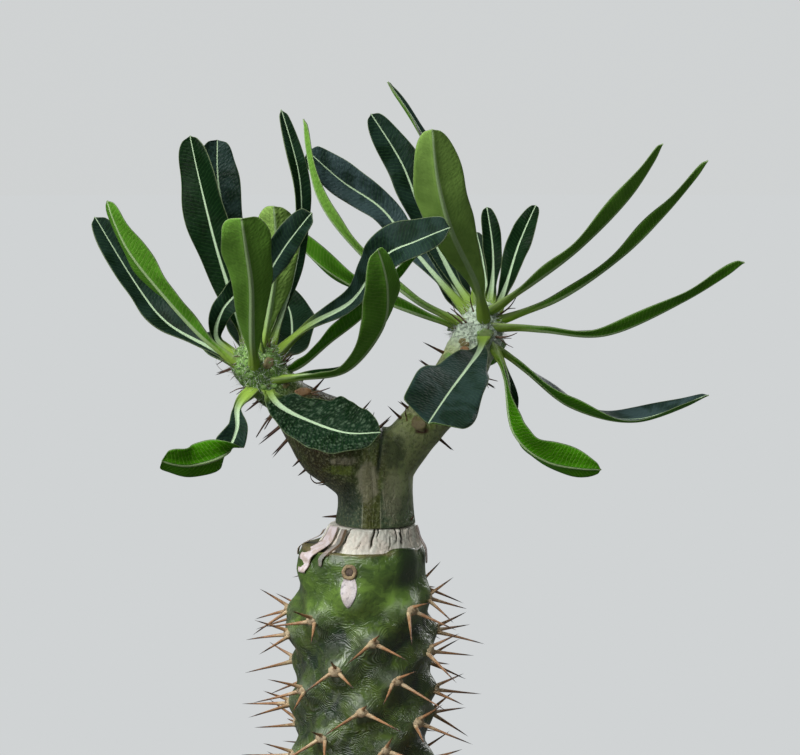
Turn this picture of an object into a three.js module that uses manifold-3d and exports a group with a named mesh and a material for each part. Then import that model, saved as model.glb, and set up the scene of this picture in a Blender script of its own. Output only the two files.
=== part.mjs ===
// A potted pachypodium: a thorny rootstock with a forked scion grafted on it, two heads of
// leaves, soil and a plain clay pot. Millimetres, +Z up, the origin at the middle of the
// pot's underside, the plant's front towards -Y.
import * as THREE from "three";
import { mergeVertices } from "three/addons/utils/BufferGeometryUtils.js";
import Module from "manifold-3d";

// The gap kept between neighbouring pieces
const CLEARANCE = 0.3;

// The share of a curve's length over which its heading is taken
const SHORT_STEP = 0.02;

// Pot
const POT_HEIGHT = 98;
const POT_RIM_RADIUS = 60;
const POT_BASE_RADIUS = 42;
const POT_WALL = 5;
const POT_FLOOR = 8;
const RIM_BAND_HEIGHT = 19;
const RIM_BAND_STEP = 3;
const POT_ROUNDING = 2;
const POT_LIP = 1.5;
const POT_TAPER = 1;
const POT_SIDES = 40;
const DRAIN_HOLES = 5;
const DRAIN_RADIUS = 4;
const DRAIN_RING_RADIUS = 24;
const DRAIN_SIDES = 12;

// Soil
const SOIL_TOP = 88;
const SOIL_GRIT = 1.6;
const SOIL_RINGS = 6;
const SOIL_EDGE = 1;
const SOIL_COLLAR = 6;

// Rootstock: the tubercles follow a spiral down the column, one each STEP_DOWN
const STOCK_RADIUS = 21.2;
const SHOULDER_RADIUS = 23;
const SHOULDER_DEPTH = 28;
const STOCK_SIDES = 36;
const STOCK_RINGS = 28;
const GRAFT_HEIGHT = 200.5;
const FOOT_DEPTH = 26;
const FOOT_TOP_RADIUS = STOCK_RADIUS;
const FOOT_END_RADIUS = 16;
const GOLDEN_ANGLE = 137.5;
const FIRST_ANGLE = 245;
const FIRST_HEIGHT = 198.8;
const STEP_DOWN = 1.92;
const LOWEST_TUBERCLE = 5;
const TUBERCLE_RISE = 5.8;
const TUBERCLE_WIDTH = 4.6;
const TUBERCLE_ABOVE = 4.0;
const TUBERCLE_BELOW = 5.6;
const TOP_RISE = 0.25;
const RISING_TUBERCLES = 12;
const ANGLE_SCATTER = 8;
const HEIGHT_SCATTER = 2.4;
const RISE_SCATTER = 0.3;
const SOIL_FADE = 6;
const TOP_FADE = 6;
const EDGE_HEIGHT = 3;
const EDGE_DROP = 1.2;
const BARE_TUBERCLES = 4;
const SCAR_TUBERCLE = 6;

// Tubercles that stand higher or lower than the spiral puts them: [index, way up]
const TUBERCLE_SHIFTS = [[4, -6], [8, -5], [12, -5], [16, 3], [20, -3], [33, 3]];

// The three thorns of a tubercle: [lean to the side, lean up, length]
const THORN_SETS = [[0.75, -0.3, 18], [-0.75, -0.35, 18], [0.1, 0.55, 12.5]];
const THORN_RADIUS = 1.15;
const PAD_RADIUS = 1.8;
const PAD_DROP = 0.5;
const PAD_DEPTH = 0.6;
const SIDE_SCATTER = 0.4;
const UP_SCATTER = 0.5;
const LENGTH_SCATTER = 0.4;
const THORN_OVER_SOIL = 3;

// Graft callus
const CALLUS_BASE_RADIUS = 19.8;
const CALLUS_TOP_RADIUS = 15.8;
const CALLUS_BASE_SHIFT = 2.3;
const CALLUS_TOP_SHIFT = 3.6;
const CALLUS_ROUGHNESS = 0.9;
const CALLUS_RINGS = 4;

// Scion: points of each stem's axis with the stem's radius there, [x, y, z, radius]
const TRUNK = [[4.8, 0, 210], [4.8, 0, 216], [4.8, 0, 225], [5, 0, 234], [6, 0, 241], [7, 0, 245]];
const TRUNK_RADII = [14.6, 13.8, 13.6, 14, 11, 4];
const LEFT_BRANCH = [
  [3, 0, 226], [-4, 0, 234], [-11, -1, 241], [-20, -1, 249], [-27, -2, 256], [-34, -2, 263], [-38, -3, 270],
  [-40, -3, 276],
];
const LEFT_RADII = [12, 13.8, 15, 11, 8, 8.6, 9.4, 4];
const RIGHT_BRANCH = [
  [9, 0, 229], [17, 0, 240], [23, 1, 247], [29, 1, 255], [35, 2, 264], [39, 3, 272], [43, 4, 281],
  [45, 4, 290],
];
const RIGHT_RADII = [9, 8.5, 8.3, 8.8, 8.9, 8.6, 8.2, 3.5];
const SCION_THORN_RADIUS = 1.1;
const THORN_PAIR_LEAN = 0.3;
const THORN_SINK = 0.5;
const STEM_SIDES = 12;
const STEM_STEPS = 12;

// Paired thorns of the scion: [way along the stem, angle from the front towards +X, length]
const TRUNK_THORNS = [[0.1, -88, 6], [0.38, -96, 8], [0.3, 160, 6], [0.86, -10, 7]];
const LEFT_THORNS = [
  [0.27, -92, 4], [0.33, -70, 4], [0.42, -88, 9], [0.48, -104, 11], [0.56, -84, 4], [0.66, -98, 7],
  [0.86, -92, 7], [0.5, 84, 7], [0.28, 62, 8], [0.16, 80, 8], [0.4, 170, 8], [0.56, 140, 7], [0.7, -160, 7],
  [0.72, 100, 5],
];
const RIGHT_THORNS = [
  [0.26, 92, 7], [0.44, 84, 6], [0.6, 90, 6], [0.78, 112, 6], [0.86, 128, 5], [0.28, -80, 5], [0.2, -70, 7],
  [0.52, -88, 7], [0.64, -84, 9], [0.34, 175, 7], [0.5, 150, 7], [0.66, -165, 7], [0.76, 140, 6], [0.4, -30, 4],
];

// Leaves: the midrib's points from the middle of the head, the blade's width, and the way that
// the upper face looks, from the foot of the leaf to its tip
const LEFT_HEAD = [-38, -3, 266];
const LEFT_LEAVES = [
  { midrib: [[-4, 1, 1], [-15, 5, 6.5], [-33, 12, 16], [-45, 18, 30], [-60, 23, 54]], width: 12.5, point: 0.5,
    faces: [[4, -10, 9], [5, -10, 6]] },
  { midrib: [[-4, -2, 2], [-18, -5, 12.5], [-32, -7, 28], [-44, -9, 44], [-51, -11, 61]],
    width: 12, point: 0.75, faces: [[5, 5, 9], [6, 9, 4]] },
  { midrib: [[-2, 3, 3], [-6.5, 7, 18], [-14, 11, 41], [-20, 15, 64], [-24.5, 18, 83.5]],
    width: 16, point: 0.65, faces: [[0, -10, 3], [-5, -9, 1]] },
  { midrib: [[0, 6, 3], [-5, 13, 24], [-11, 20, 47], [-15, 26, 67], [-15.5, 30, 82]], width: 15, point: 0.55,
    faces: [[1, -10, 4], [2, -10, 2]] },
  { midrib: [[0, -3, 0], [0, -21, 13], [1, -39, 33], [0, -51, 47], [-1, -57, 56.5]],
    width: 17, stalk: 0.05, point: 0.5, faces: [[0, 5, 10], [-1, 10, 6]] },
  { midrib: [[2, -1, 3], [5, -6, 19], [7.5, -12, 33.5], [8.5, -17, 48], [8, -22, 59.5]],
    width: 15.5, point: 0.65, faces: [[1, 8, 6], [1, 10, 4]] },
  { midrib: [[1, -2, 1], [2, -13, 17], [4, -23, 31], [11.5, -31, 44.5], [21.5, -38, 57.5]],
    width: 11, stalk: 0.3, point: 0.45, faces: [[-3, -10, 4], [-5, -10, 2]] },
  { midrib: [[3, 1, 3], [7.5, 3, 15], [13, 4, 32], [16, 5, 48.5], [15.5, 8, 69], [9, 13, 93]],
    width: 7, point: 0.5, faces: [[3, -10, 4], [8, -10, 1], [5, -10, 1]] },
  { midrib: [[4, -1, 4], [18, -5, 15.5], [34, -15, 25], [42, -26, 36], [48, -33, 43.5], [57.5, -40, 48],
      [68.5, -47, 53]],
    width: 17, stalk: 0.04, point: 0.5, faces: [[-4, -6, 10], [-6, -10, 4], [-3, -9, 7]] },
  { midrib: [[2, -3, -2], [16.5, -11, -1], [33, -24, 3], [45, -39, 18], [47, -48, 32], [44, -54, 46]],
    width: 19, point: 0.6, faces: [[0, -2, 10], [-8, 4, 5], [-8, 8, 0]] },
  { midrib: [[3, 2, -1], [14.5, 0, 1.5], [26.5, -4, 11], [40, -8, 22], [57, -13, 41.5]], width: 18,
    faces: [[-5, 0, 10], [-6, 2, 8]] },
  { midrib: [[4, 5, 2], [8, 17, 3], [11, 35, 6], [10, 53, 16], [5, 65, 25]], width: 17,
    faces: [[0, -3, 10], [1, -6, 10]] },
  { midrib: [[-5, 0, 4], [-14, 1, 11], [-12, 0, 21], [-5, -1, 30], [0, -2, 43]], width: 9,
    faces: [[3, -6, 8], [1, -10, 2]] },
  { midrib: [[0, -5, -5], [-5.5, -14, -11.5], [-5.5, -24, -19], [-9.5, -32, -26], [-20.5, -37, -29],
      [-30, -41, -27]],
    width: 13.5, point: 0.4, faces: [[0, -4, 10], [3, -6, 8], [1, 9, 5], [1, 9, 5]] },
  { midrib: [[3, -3, -3], [8.5, -13, -11], [21, -25, -16], [33.5, -35, -18.5], [45, -43, -17]],
    width: 23, point: 0.8, faces: [[0, -8, 9], [2, -12, 7]] },
  { midrib: [[-1, 4, -1], [-5, 24, 8], [-7, 46, 15], [-7, 66, 19]], width: 15,
    faces: [[0, -3, 10], [0, -2, 10]] },
  { midrib: [[3, 4, -1], [6, 22, -6], [8, 43, -14], [8, 62, -24]], width: 15,
    faces: [[0, 1, 10], [0, 3, 10]] },
  { midrib: [[-3, 3, -1], [-14, 20, 3], [-26, 40, 8], [-34, 58, 8]], width: 15,
    faces: [[0, -1, 10], [0, 2, 10]] },
];
const RIGHT_HEAD = [44, 4, 283];
const RIGHT_LEAVES = [
  { midrib: [[-3, 1, -3], [-21, 4, 2], [-40, 8, 9], [-59, 12, 20], [-79, 15, 40]], width: 13, point: 0.5,
    faces: [[1, 5, 10], [4, 5, 8]] },
  { midrib: [[-3, -2, -1], [-22.5, -2, 7], [-44, -1, 25], [-59, 0, 45], [-64.5, 1, 72.5]],
    width: 7, point: 0.65, faces: [[5, 4, 9], [9, 4, 5]] },
  { midrib: [[-2, 2, -1], [-14.5, 4, 12.5], [-26, 8, 26], [-37, 11, 40], [-51.5, 13, 50], [-64, 14, 61]],
    width: 13, point: 0.4, faces: [[1, -10, 4], [1, -10, 4]] },
  { midrib: [[-1, 4, 1], [-11, 11, 15], [-23, 17, 40], [-30, 20, 57], [-41, 23, 74.5]], width: 13, point: 0.6,
    faces: [[1, -10, 3], [1, -10, 1]] },
  { midrib: [[0, -4, 0], [-3.5, -18, 15], [-12.5, -35, 34], [-17.5, -47, 52], [-19.5, -56, 69]], width: 18,
    faces: [[0, 8, 8], [0, 10, 5]] },
  { midrib: [[-1, -1, 3], [-5, 1, 29], [-14, 4, 51], [-24.5, 6, 71], [-34.5, 8, 86]], width: 6, point: 1.1,
    faces: [[8, -5, 3], [8, -5, 3]] },
  { midrib: [[1, -2, 3], [3, 0, 15], [3, 2, 27], [1, 4, 41]], width: 7, point: 0.6,
    faces: [[0, -10, 3], [0, -10, 2]] },
  { midrib: [[4, 4, 2], [8.5, 16, 11.5], [14, 32, 26], [21, 44, 40.5]], width: 9, point: 0.7,
    faces: [[-2, -8, 8], [-1, -9, 6]] },
  { midrib: [[1, 7, 3], [1, 17, 13], [0, 23, 22], [-2, 28, 31]], width: 6,
    faces: [[0, -9, 6], [0, -9, 5]] },
  { midrib: [[1, -4, 5], [16.5, -10, 15], [34, -13, 28.5], [50.5, -16, 46], [61.5, -18, 64]],
    width: 14, point: 0.8, faces: [[-4, 1, 10], [-7, 4, 7]] },
  { midrib: [[2, -2, 1], [25.5, -3, 8.5], [48.5, -4, 24], [64.5, -5, 40],
      [79, -6, 58]], width: 11, point: 0.85,
    faces: [[-3, 2, 10], [-6, 4, 8]] },
  { midrib: [[1, -4, 0], [21.5, -8, -2], [43.5, -12, -3], [70, -15, 9], [91, -17, 22.5]],
    width: 11, point: 0.65, faces: [[0, 1, 10], [-3, 4, 9]] },
  { midrib: [[1, -2, -5], [15.5, -4, -17], [32, -7, -30], [54.5, -11, -34.5], [79.5, -14, -25]],
    width: 16.5, point: 0.8, faces: [[6, 0, 8], [2, 1, 10], [-3, -3, 10]] },
  { midrib: [[4, -5, -7], [8, -14, -19], [10.5, -22, -37.5], [22, -28, -47], [40, -34, -49]], width: 17.5,
    faces: [[9, -4, 4], [7, 3, 6], [1, 8, 6]] },
  { midrib: [[0, -5, -4], [-2.5, -28, -8], [-7.5, -48, -12.5], [-14, -68, -18.5], [-21, -88, -26]],
    width: 24.5, point: 0.2, faces: [[0, -3, 10], [4, -6, 9]] },
  { midrib: [[-2, 4, -4], [-4, 22, -5], [-5, 42, -7], [-7, 60, -10]], width: 14,
    faces: [[0, -3, 10], [0, -2, 10]] },
  { midrib: [[-2, 5, -3], [-7, 22, 4], [-13, 42, 16], [-17, 58, 32]], width: 14,
    faces: [[0, -4, 10], [0, -6, 9]] },
  { midrib: [[2, 4, -3], [4, 22, -9], [2, 42, -17], [-4, 60, -26]], width: 14,
    faces: [[0, 1, 10], [0, 3, 10]] },
];
const BLADE_CELLS = 4;
const BLADE_STEPS = 10;
const STALK_SHARE = 0.1;
const LONG_BASE = 1.2;
const ROUND_TIP = 0.72;
const STALK_HALF_WIDTH = 1.7;
const TIP_HALF_WIDTH = 0.5;
const STALK_THICKNESS = 2.6;
const STALK_EDGE_THICKNESS = 1.56;
const RIB_THICKNESS = 1.5;
const MARGIN_THICKNESS = 0.7;
const CHANNEL = 0.28;
const WAVE = 0.9;
const WAVES_PER_BLADE = 2.6;
const WAVY_HALF_WIDTH = 5;
const BLADE_START = 0.6;
const BLADE_FULL = 2;
const TIP_CROWDING = 1.4;

const CLAY = { color: 0xb4714f, roughness: 0.85, metalness: 0 };
const SOIL = { color: 0x6f6254, roughness: 0.95, metalness: 0 };
const STOCK_SKIN = { color: 0x4c6430, roughness: 0.55, metalness: 0 };
const CORK = { color: 0xcfc4ae, roughness: 0.8, metalness: 0 };
const SCION_SKIN = { color: 0x5d6a4c, roughness: 0.6, metalness: 0 };
const LEAF_GREEN = { color: 0x274a26, roughness: 0.4, metalness: 0 };

const wasm = await Module();
wasm.setup();

const toRadians = THREE.MathUtils.degToRad;
const mix = THREE.MathUtils.lerp;
const { clamp, smoothstep } = THREE.MathUtils;

function seededRandom(seed) {
  let state = seed;
  return () => {
    state = (state * 16807) % 2147483647;
    return state / 2147483647;
  };
}

// The point at share t of a smooth curve through the given rows of numbers
function alongCurve(rows, t) {
  const last = rows.length - 1;
  const start = Math.min(Math.floor(t * last), last - 1);
  const f = t * last - start;
  const row = (index) => rows[clamp(index, 0, last)];
  return row(start).map((b, axis) => {
    const a = row(start - 1)[axis];
    const c = row(start + 1)[axis];
    const d = row(start + 2)[axis];
    return b + 0.5 * f * (c - a + f * (2 * a - 5 * b + 4 * c - d + f * (3 * (b - c) + d - a)));
  });
}

// A bare closed geometry, with only merged positions and faces
function bare(geometry) {
  const copy = geometry.clone();
  copy.deleteAttribute("normal");
  copy.deleteAttribute("uv");
  return mergeVertices(copy, 1e-4);
}

function toSolid(geometry) {
  const closed = bare(geometry);
  return new wasm.Manifold(new wasm.Mesh({
    numProp: 3,
    vertProperties: new Float32Array(closed.attributes.position.array),
    triVerts: new Uint32Array(closed.index.array),
  }));
}

function toGeometry(solid) {
  const { vertProperties, triVerts } = solid.getMesh();
  const geometry = new THREE.BufferGeometry();
  geometry.setAttribute("position", new THREE.BufferAttribute(new Float32Array(vertProperties), 3));
  geometry.setIndex(new THREE.BufferAttribute(new Uint32Array(triVerts), 1));
  return geometry;
}

function moveVertices(geometry, place) {
  const closed = bare(geometry);
  const position = closed.attributes.position;
  const point = new THREE.Vector3();
  for (let i = 0; i < position.count; i += 1) {
    point.fromBufferAttribute(position, i);
    const [x, y, z] = place(point);
    position.setXYZ(i, x, y, z);
  }
  return closed;
}

function lathe(profile, sides) {
  const points = profile.map(([radius, height]) => new THREE.Vector2(radius, height));
  return new THREE.LatheGeometry(points, sides).rotateX(Math.PI / 2);
}

// A thorn that stands on a point and leans along a direction, its root sunk below the skin
function thorn(foot, direction, length, radius) {
  const sunk = 2 * radius;
  const cone = new THREE.ConeGeometry(radius, length + sunk, 3, 1);
  cone.translate(0, (length + sunk) / 2 - sunk, 0);
  const turn = new THREE.Quaternion().setFromUnitVectors(new THREE.Vector3(0, 1, 0), direction);
  return cone.applyQuaternion(turn).translate(foot.x, foot.y, foot.z);
}

function makePot() {
  const band = POT_HEIGHT - RIM_BAND_HEIGHT;
  const bodyRadius = POT_RIM_RADIUS - RIM_BAND_STEP - POT_TAPER;
  const rimFoot = POT_RIM_RADIUS - POT_TAPER / 2;
  const rimTop = POT_RIM_RADIUS + POT_TAPER / 2;
  const shell = toSolid(lathe([
    [0, 0], [POT_BASE_RADIUS - POT_TAPER, 0], [POT_BASE_RADIUS, POT_TAPER],
    [bodyRadius, band - POT_ROUNDING], [rimFoot, band], [POT_RIM_RADIUS, band + POT_ROUNDING],
    [rimTop, POT_HEIGHT - POT_ROUNDING], [POT_RIM_RADIUS - POT_LIP, POT_HEIGHT],
    [POT_RIM_RADIUS - POT_WALL, POT_HEIGHT],
    [POT_RIM_RADIUS - POT_WALL - POT_TAPER, POT_HEIGHT - POT_ROUNDING],
    [bodyRadius - POT_WALL, band - POT_ROUNDING],
    [POT_BASE_RADIUS - POT_WALL, POT_FLOOR], [0, POT_FLOOR],
  ], POT_SIDES));
  let pot = shell;
  for (let hole = 0; hole < DRAIN_HOLES; hole += 1) {
    const angle = (2 * Math.PI * hole) / DRAIN_HOLES;
    const bore = new THREE.CylinderGeometry(DRAIN_RADIUS, DRAIN_RADIUS, 4 * POT_FLOOR, DRAIN_SIDES)
      .rotateX(Math.PI / 2)
      .translate(DRAIN_RING_RADIUS * Math.cos(angle), DRAIN_RING_RADIUS * Math.sin(angle), 0);
    pot = pot.subtract(toSolid(bore));
  }
  return toGeometry(pot);
}

// The inside wall's radius at a height above the floor
function potInside(height) {
  const band = POT_HEIGHT - RIM_BAND_HEIGHT;
  const bodyRadius = POT_RIM_RADIUS - RIM_BAND_STEP - POT_TAPER - POT_WALL;
  const low = [POT_FLOOR, POT_BASE_RADIUS - POT_WALL];
  const middle = [band - POT_ROUNDING, bodyRadius];
  const high = [POT_HEIGHT - POT_ROUNDING, POT_RIM_RADIUS - POT_WALL - POT_TAPER];
  const [from, to] = height < middle[0] ? [low, middle] : [middle, high];
  return mix(from[1], to[1], (height - from[0]) / (to[0] - from[0]));
}

function makeSoil() {
  const bottom = POT_FLOOR + CLEARANCE;
  const band = POT_HEIGHT - RIM_BAND_HEIGHT - POT_ROUNDING;
  const footEnd = SOIL_TOP - FOOT_DEPTH - CLEARANCE;
  const mouth = FOOT_TOP_RADIUS + CLEARANCE;
  const outer = potInside(SOIL_TOP) - CLEARANCE;
  const profile = [[0, bottom], [potInside(bottom) - CLEARANCE, bottom], [potInside(band) - CLEARANCE, band]];
  for (let ring = 0; ring <= SOIL_RINGS; ring += 1) {
    profile.push([mix(outer, mouth, ring / SOIL_RINGS), SOIL_TOP]);
  }
  profile.push([FOOT_END_RADIUS + CLEARANCE, footEnd], [0, footEnd]);
  const random = seededRandom(7);
  return moveVertices(lathe(profile, STOCK_SIDES), ({ x, y, z }) => {
    const radius = Math.hypot(x, y);
    const inTop = z > SOIL_TOP - 0.1 && radius > mouth + SOIL_COLLAR && radius < outer - SOIL_EDGE;
    return [x, y, inTop ? z + SOIL_GRIT * (random() - 0.3) : z];
  });
}

// The tubercles: [angle, height, rise, index], angles from the front towards +X
function listTubercles() {
  const tubercles = [];
  const random = seededRandom(31);
  const shifts = new Map(TUBERCLE_SHIFTS);
  const lowest = SOIL_TOP + LOWEST_TUBERCLE;
  for (let index = 0; FIRST_HEIGHT - STEP_DOWN * index > lowest; index += 1) {
    const angle = toRadians(FIRST_ANGLE + GOLDEN_ANGLE * index + ANGLE_SCATTER * (random() - 0.5));
    const onSpiral = FIRST_HEIGHT - STEP_DOWN * index + HEIGHT_SCATTER * (random() - 0.5);
    const height = onSpiral + (shifts.get(index) ?? 0);
    const full = TUBERCLE_RISE * (1 + RISE_SCATTER * (random() - 0.5));
    const rise = full * Math.min(1, TOP_RISE + index / RISING_TUBERCLES);
    tubercles.push({ angle, height, rise, index });
  }
  return tubercles;
}

const TUBERCLES = listTubercles();

function stockRadius(angle, height) {
  let rise = 0;
  for (const tubercle of TUBERCLES) {
    const turn = Math.atan2(Math.sin(angle - tubercle.angle), Math.cos(angle - tubercle.angle));
    const across = (turn * STOCK_RADIUS) / TUBERCLE_WIDTH;
    const up = height - tubercle.height;
    const along = up / (up > 0 ? TUBERCLE_ABOVE : TUBERCLE_BELOW);
    rise += tubercle.rise * Math.exp(-0.5 * (across * across + along * along));
  }
  const below = GRAFT_HEIGHT - height;
  const fade = smoothstep(height, SOIL_TOP, SOIL_TOP + SOIL_FADE) * smoothstep(below, -1, TOP_FADE);
  const edge = smoothstep(below, 0, EDGE_HEIGHT);
  const shoulder = smoothstep(height, GRAFT_HEIGHT - SHOULDER_DEPTH, GRAFT_HEIGHT);
  const waist = mix(STOCK_RADIUS, SHOULDER_RADIUS, shoulder);
  return waist - EDGE_DROP * (1 - edge) + fade * rise;
}

function stockPoint(angle, height, out = 0) {
  const radius = stockRadius(angle, height) + out;
  return new THREE.Vector3(radius * Math.sin(angle), -radius * Math.cos(angle), height);
}

function makeRootstock() {
  const foot = SOIL_TOP - FOOT_DEPTH;
  const column = new THREE.CylinderGeometry(1, 1, 1, STOCK_SIDES, STOCK_RINGS + 1);
  const lowestRing = 1 / (STOCK_RINGS + 1);
  const body = moveVertices(column, ({ x, y, z }) => {
    const share = y + 0.5;
    const around = Math.hypot(x, z);
    const angle = Math.atan2(x, z);
    if (share < lowestRing / 2) {
      return [FOOT_END_RADIUS * around * Math.sin(angle), -FOOT_END_RADIUS * around * Math.cos(angle), foot];
    }
    const height = mix(SOIL_TOP, GRAFT_HEIGHT, (share - lowestRing) / (1 - lowestRing));
    const point = stockPoint(angle, height);
    return [point.x * around, point.y * around, height];
  });
  let stock = toSolid(body);
  const random = seededRandom(97);
  for (const { angle, height, rise, index } of TUBERCLES) {
    if (index >= BARE_TUBERCLES && index !== SCAR_TUBERCLE) {
      const out = new THREE.Vector3(Math.sin(angle), -Math.cos(angle), 0);
      const side = new THREE.Vector3(Math.cos(angle), Math.sin(angle), 0);
      const foot = stockPoint(angle, height - PAD_DROP, -PAD_DEPTH);
      for (const [across, up, length] of THORN_SETS) {
        const root = foot.clone().addScaledVector(side, PAD_RADIUS * across);
        root.z += PAD_RADIUS * up;
        const direction = out.clone()
          .addScaledVector(side, across + SIDE_SCATTER * (random() - 0.5));
        const grown = Math.min(1, rise / TUBERCLE_RISE + 0.2);
        const reach = length * (1 + LENGTH_SCATTER * (random() - 0.5)) * grown;
        const lowest = (SOIL_TOP + THORN_OVER_SOIL - root.z) / reach;
        direction.z = Math.max(up + UP_SCATTER * (random() - 0.5), lowest);
        stock = stock.add(toSolid(thorn(root, direction.normalize(), reach, THORN_RADIUS)));
      }
    }
  }
  return toGeometry(stock);
}

function makeCallus() {
  const bottom = GRAFT_HEIGHT + CLEARANCE;
  const top = TRUNK[0][2] - CLEARANCE;
  const column = new THREE.CylinderGeometry(1, 1, 1, STOCK_SIDES, CALLUS_RINGS);
  const random = seededRandom(53);
  return moveVertices(column, ({ x, y, z }) => {
    const share = y + 0.5;
    const around = Math.hypot(x, z);
    const smooth = mix(CALLUS_BASE_RADIUS, CALLUS_TOP_RADIUS, share);
    const radius = smooth - (share > 0.1 ? CALLUS_ROUGHNESS * random() : 0);
    const scale = around > 0.5 ? radius / around : 0;
    const middle = mix(CALLUS_BASE_SHIFT, CALLUS_TOP_SHIFT, share);
    return [x * scale + middle, -z * scale, mix(bottom, top, share)];
  });
}

// Where a stem's axis, heading and radius are at share t of its length
function stemStation(path, radii, t) {
  const centre = new THREE.Vector3(...alongCurve(path, t));
  const before = new THREE.Vector3(...alongCurve(path, Math.max(0, t - SHORT_STEP)));
  const after = new THREE.Vector3(...alongCurve(path, Math.min(1, t + SHORT_STEP)));
  const heading = after.sub(before).normalize();
  const front = new THREE.Vector3(0, -1, 0);
  front.addScaledVector(heading, -front.dot(heading)).normalize();
  const right = heading.clone().cross(front);
  const [radius] = alongCurve(radii.map((value) => [value]), t);
  return { centre, heading, front, right, radius };
}

function stem(path, radii, growth) {
  const column = new THREE.CylinderGeometry(1, 1, 1, STEM_SIDES, STEM_STEPS);
  return moveVertices(column, ({ x, y, z }) => {
    const { centre, heading, front, right, radius } = stemStation(path, radii, y + 0.5);
    const ends = y > 0.499 ? growth : 0;
    return centre
      .addScaledVector(right, x * (radius + growth))
      .addScaledVector(front, z * (radius + growth))
      .addScaledVector(heading, ends)
      .toArray();
  });
}

const STEMS = [
  { path: TRUNK, radii: TRUNK_RADII, thorns: TRUNK_THORNS },
  { path: LEFT_BRANCH, radii: LEFT_RADII, thorns: LEFT_THORNS },
  { path: RIGHT_BRANCH, radii: RIGHT_RADII, thorns: RIGHT_THORNS },
];

function bareScion(growth) {
  return STEMS
    .map(({ path, radii }) => toSolid(stem(path, radii, growth)))
    .reduce((whole, piece) => whole.add(piece));
}

function makeScion() {
  let scion = bareScion(0);
  for (const { path, radii, thorns } of STEMS) {
    for (const [t, degrees, length] of thorns) {
      const { centre, heading, front, right, radius } = stemStation(path, radii, t);
      const angle = toRadians(degrees);
      const out = front.clone().multiplyScalar(Math.cos(angle)).addScaledVector(right, Math.sin(angle));
      const side = heading.clone().cross(out);
      const foot = centre.clone().addScaledVector(out, radius - THORN_SINK);
      for (const way of [-THORN_PAIR_LEAN, THORN_PAIR_LEAN]) {
        const direction = out.clone().addScaledVector(side, way).normalize();
        scion = scion.add(toSolid(thorn(foot, direction, length, SCION_THORN_RADIUS)));
      }
    }
  }
  return toGeometry(scion);
}

// The half-width at share s of the leaf's length: a stalk, then a blade that is widest past its
// middle, and narrows to the tip by the given power
function halfWidth({ width, stalk = STALK_SHARE, point = ROUND_TIP }, s) {
  const t = clamp((s - stalk) / (1 - stalk), 0, 1);
  const widest = LONG_BASE / (LONG_BASE + point);
  const outline = (share) => share ** LONG_BASE * (1 - share) ** point;
  const blade = outline(t) / outline(widest);
  return Math.max((width / 2) * blade, mix(STALK_HALF_WIDTH, TIP_HALF_WIDTH, s));
}

function leafStation({ midrib, faces }, s) {
  const centre = new THREE.Vector3(...alongCurve(midrib, s));
  const before = new THREE.Vector3(...alongCurve(midrib, Math.max(0, s - SHORT_STEP)));
  const after = new THREE.Vector3(...alongCurve(midrib, Math.min(1, s + SHORT_STEP)));
  const heading = after.sub(before).normalize();
  const up = new THREE.Vector3(...alongCurve(faces, s)).normalize();
  up.addScaledVector(heading, -up.dot(heading)).normalize();
  return { centre, up, side: heading.clone().cross(up) };
}

function makeLeaf(leaf, order) {
  const plane = new THREE.PlaneGeometry(2, 1, BLADE_CELLS, BLADE_STEPS);
  const grid = plane.attributes.position;
  const count = grid.count;
  const points = new Float32Array(6 * count);
  for (let i = 0; i < count; i += 1) {
    const across = grid.getX(i);
    const s = 1 - (0.5 - grid.getY(i)) ** TIP_CROWDING;
    const { centre, up, side } = leafStation(leaf, s);
    const half = halfWidth(leaf, s);
    const inBlade = smoothstep(s, STALK_SHARE * BLADE_START, STALK_SHARE * BLADE_FULL);
    const phase = order + (across < 0 ? 2 : 0);
    const ripple = WAVE * Math.sin(2 * Math.PI * WAVES_PER_BLADE * s + phase) * Math.abs(across) ** 2;
    const lift = inBlade * (CHANNEL * half * Math.abs(across) + ripple * Math.min(1, half / WAVY_HALF_WIDTH));
    const margin = mix(STALK_EDGE_THICKNESS, MARGIN_THICKNESS, inBlade);
    const middle = mix(STALK_THICKNESS, RIB_THICKNESS, inBlade);
    const thickness = mix(margin, middle, (1 - Math.abs(across)) ** 2);
    const top = centre.addScaledVector(side, across * half).addScaledVector(up, lift);
    points.set(top.toArray(), 3 * i);
    points.set(top.addScaledVector(up, -thickness).toArray(), 3 * (count + i));
  }
  return closedSheet(points, plane);
}

// Both faces of a sheet, split along the same diagonals, with a rim round them
function closedSheet(points, plane) {
  const count = plane.attributes.position.count;
  const faces = Array.from(plane.index.array);
  const triangles = [...faces];
  for (let i = 0; i < faces.length; i += 3) {
    triangles.push(count + faces[i], count + faces[i + 2], count + faces[i + 1]);
  }
  const row = BLADE_CELLS + 1;
  const border = [];
  for (let i = 0; i < BLADE_CELLS; i += 1) border.push(count - row + i);
  for (let j = BLADE_STEPS; j > 0; j -= 1) border.push(j * row + BLADE_CELLS);
  for (let i = BLADE_CELLS; i > 0; i -= 1) border.push(i);
  for (let j = 0; j < BLADE_STEPS; j += 1) border.push(j * row);
  border.forEach((from, index) => {
    const to = border[(index + 1) % border.length];
    triangles.push(from, count + from, count + to, from, count + to, to);
  });
  const sheet = new THREE.BufferGeometry();
  sheet.setAttribute("position", new THREE.BufferAttribute(points, 3));
  sheet.setIndex(triangles);
  return sheet;
}

function named(name, geometry, finish) {
  const mesh = new THREE.Mesh(geometry, new THREE.MeshStandardMaterial(finish));
  mesh.name = name;
  return mesh;
}

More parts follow.
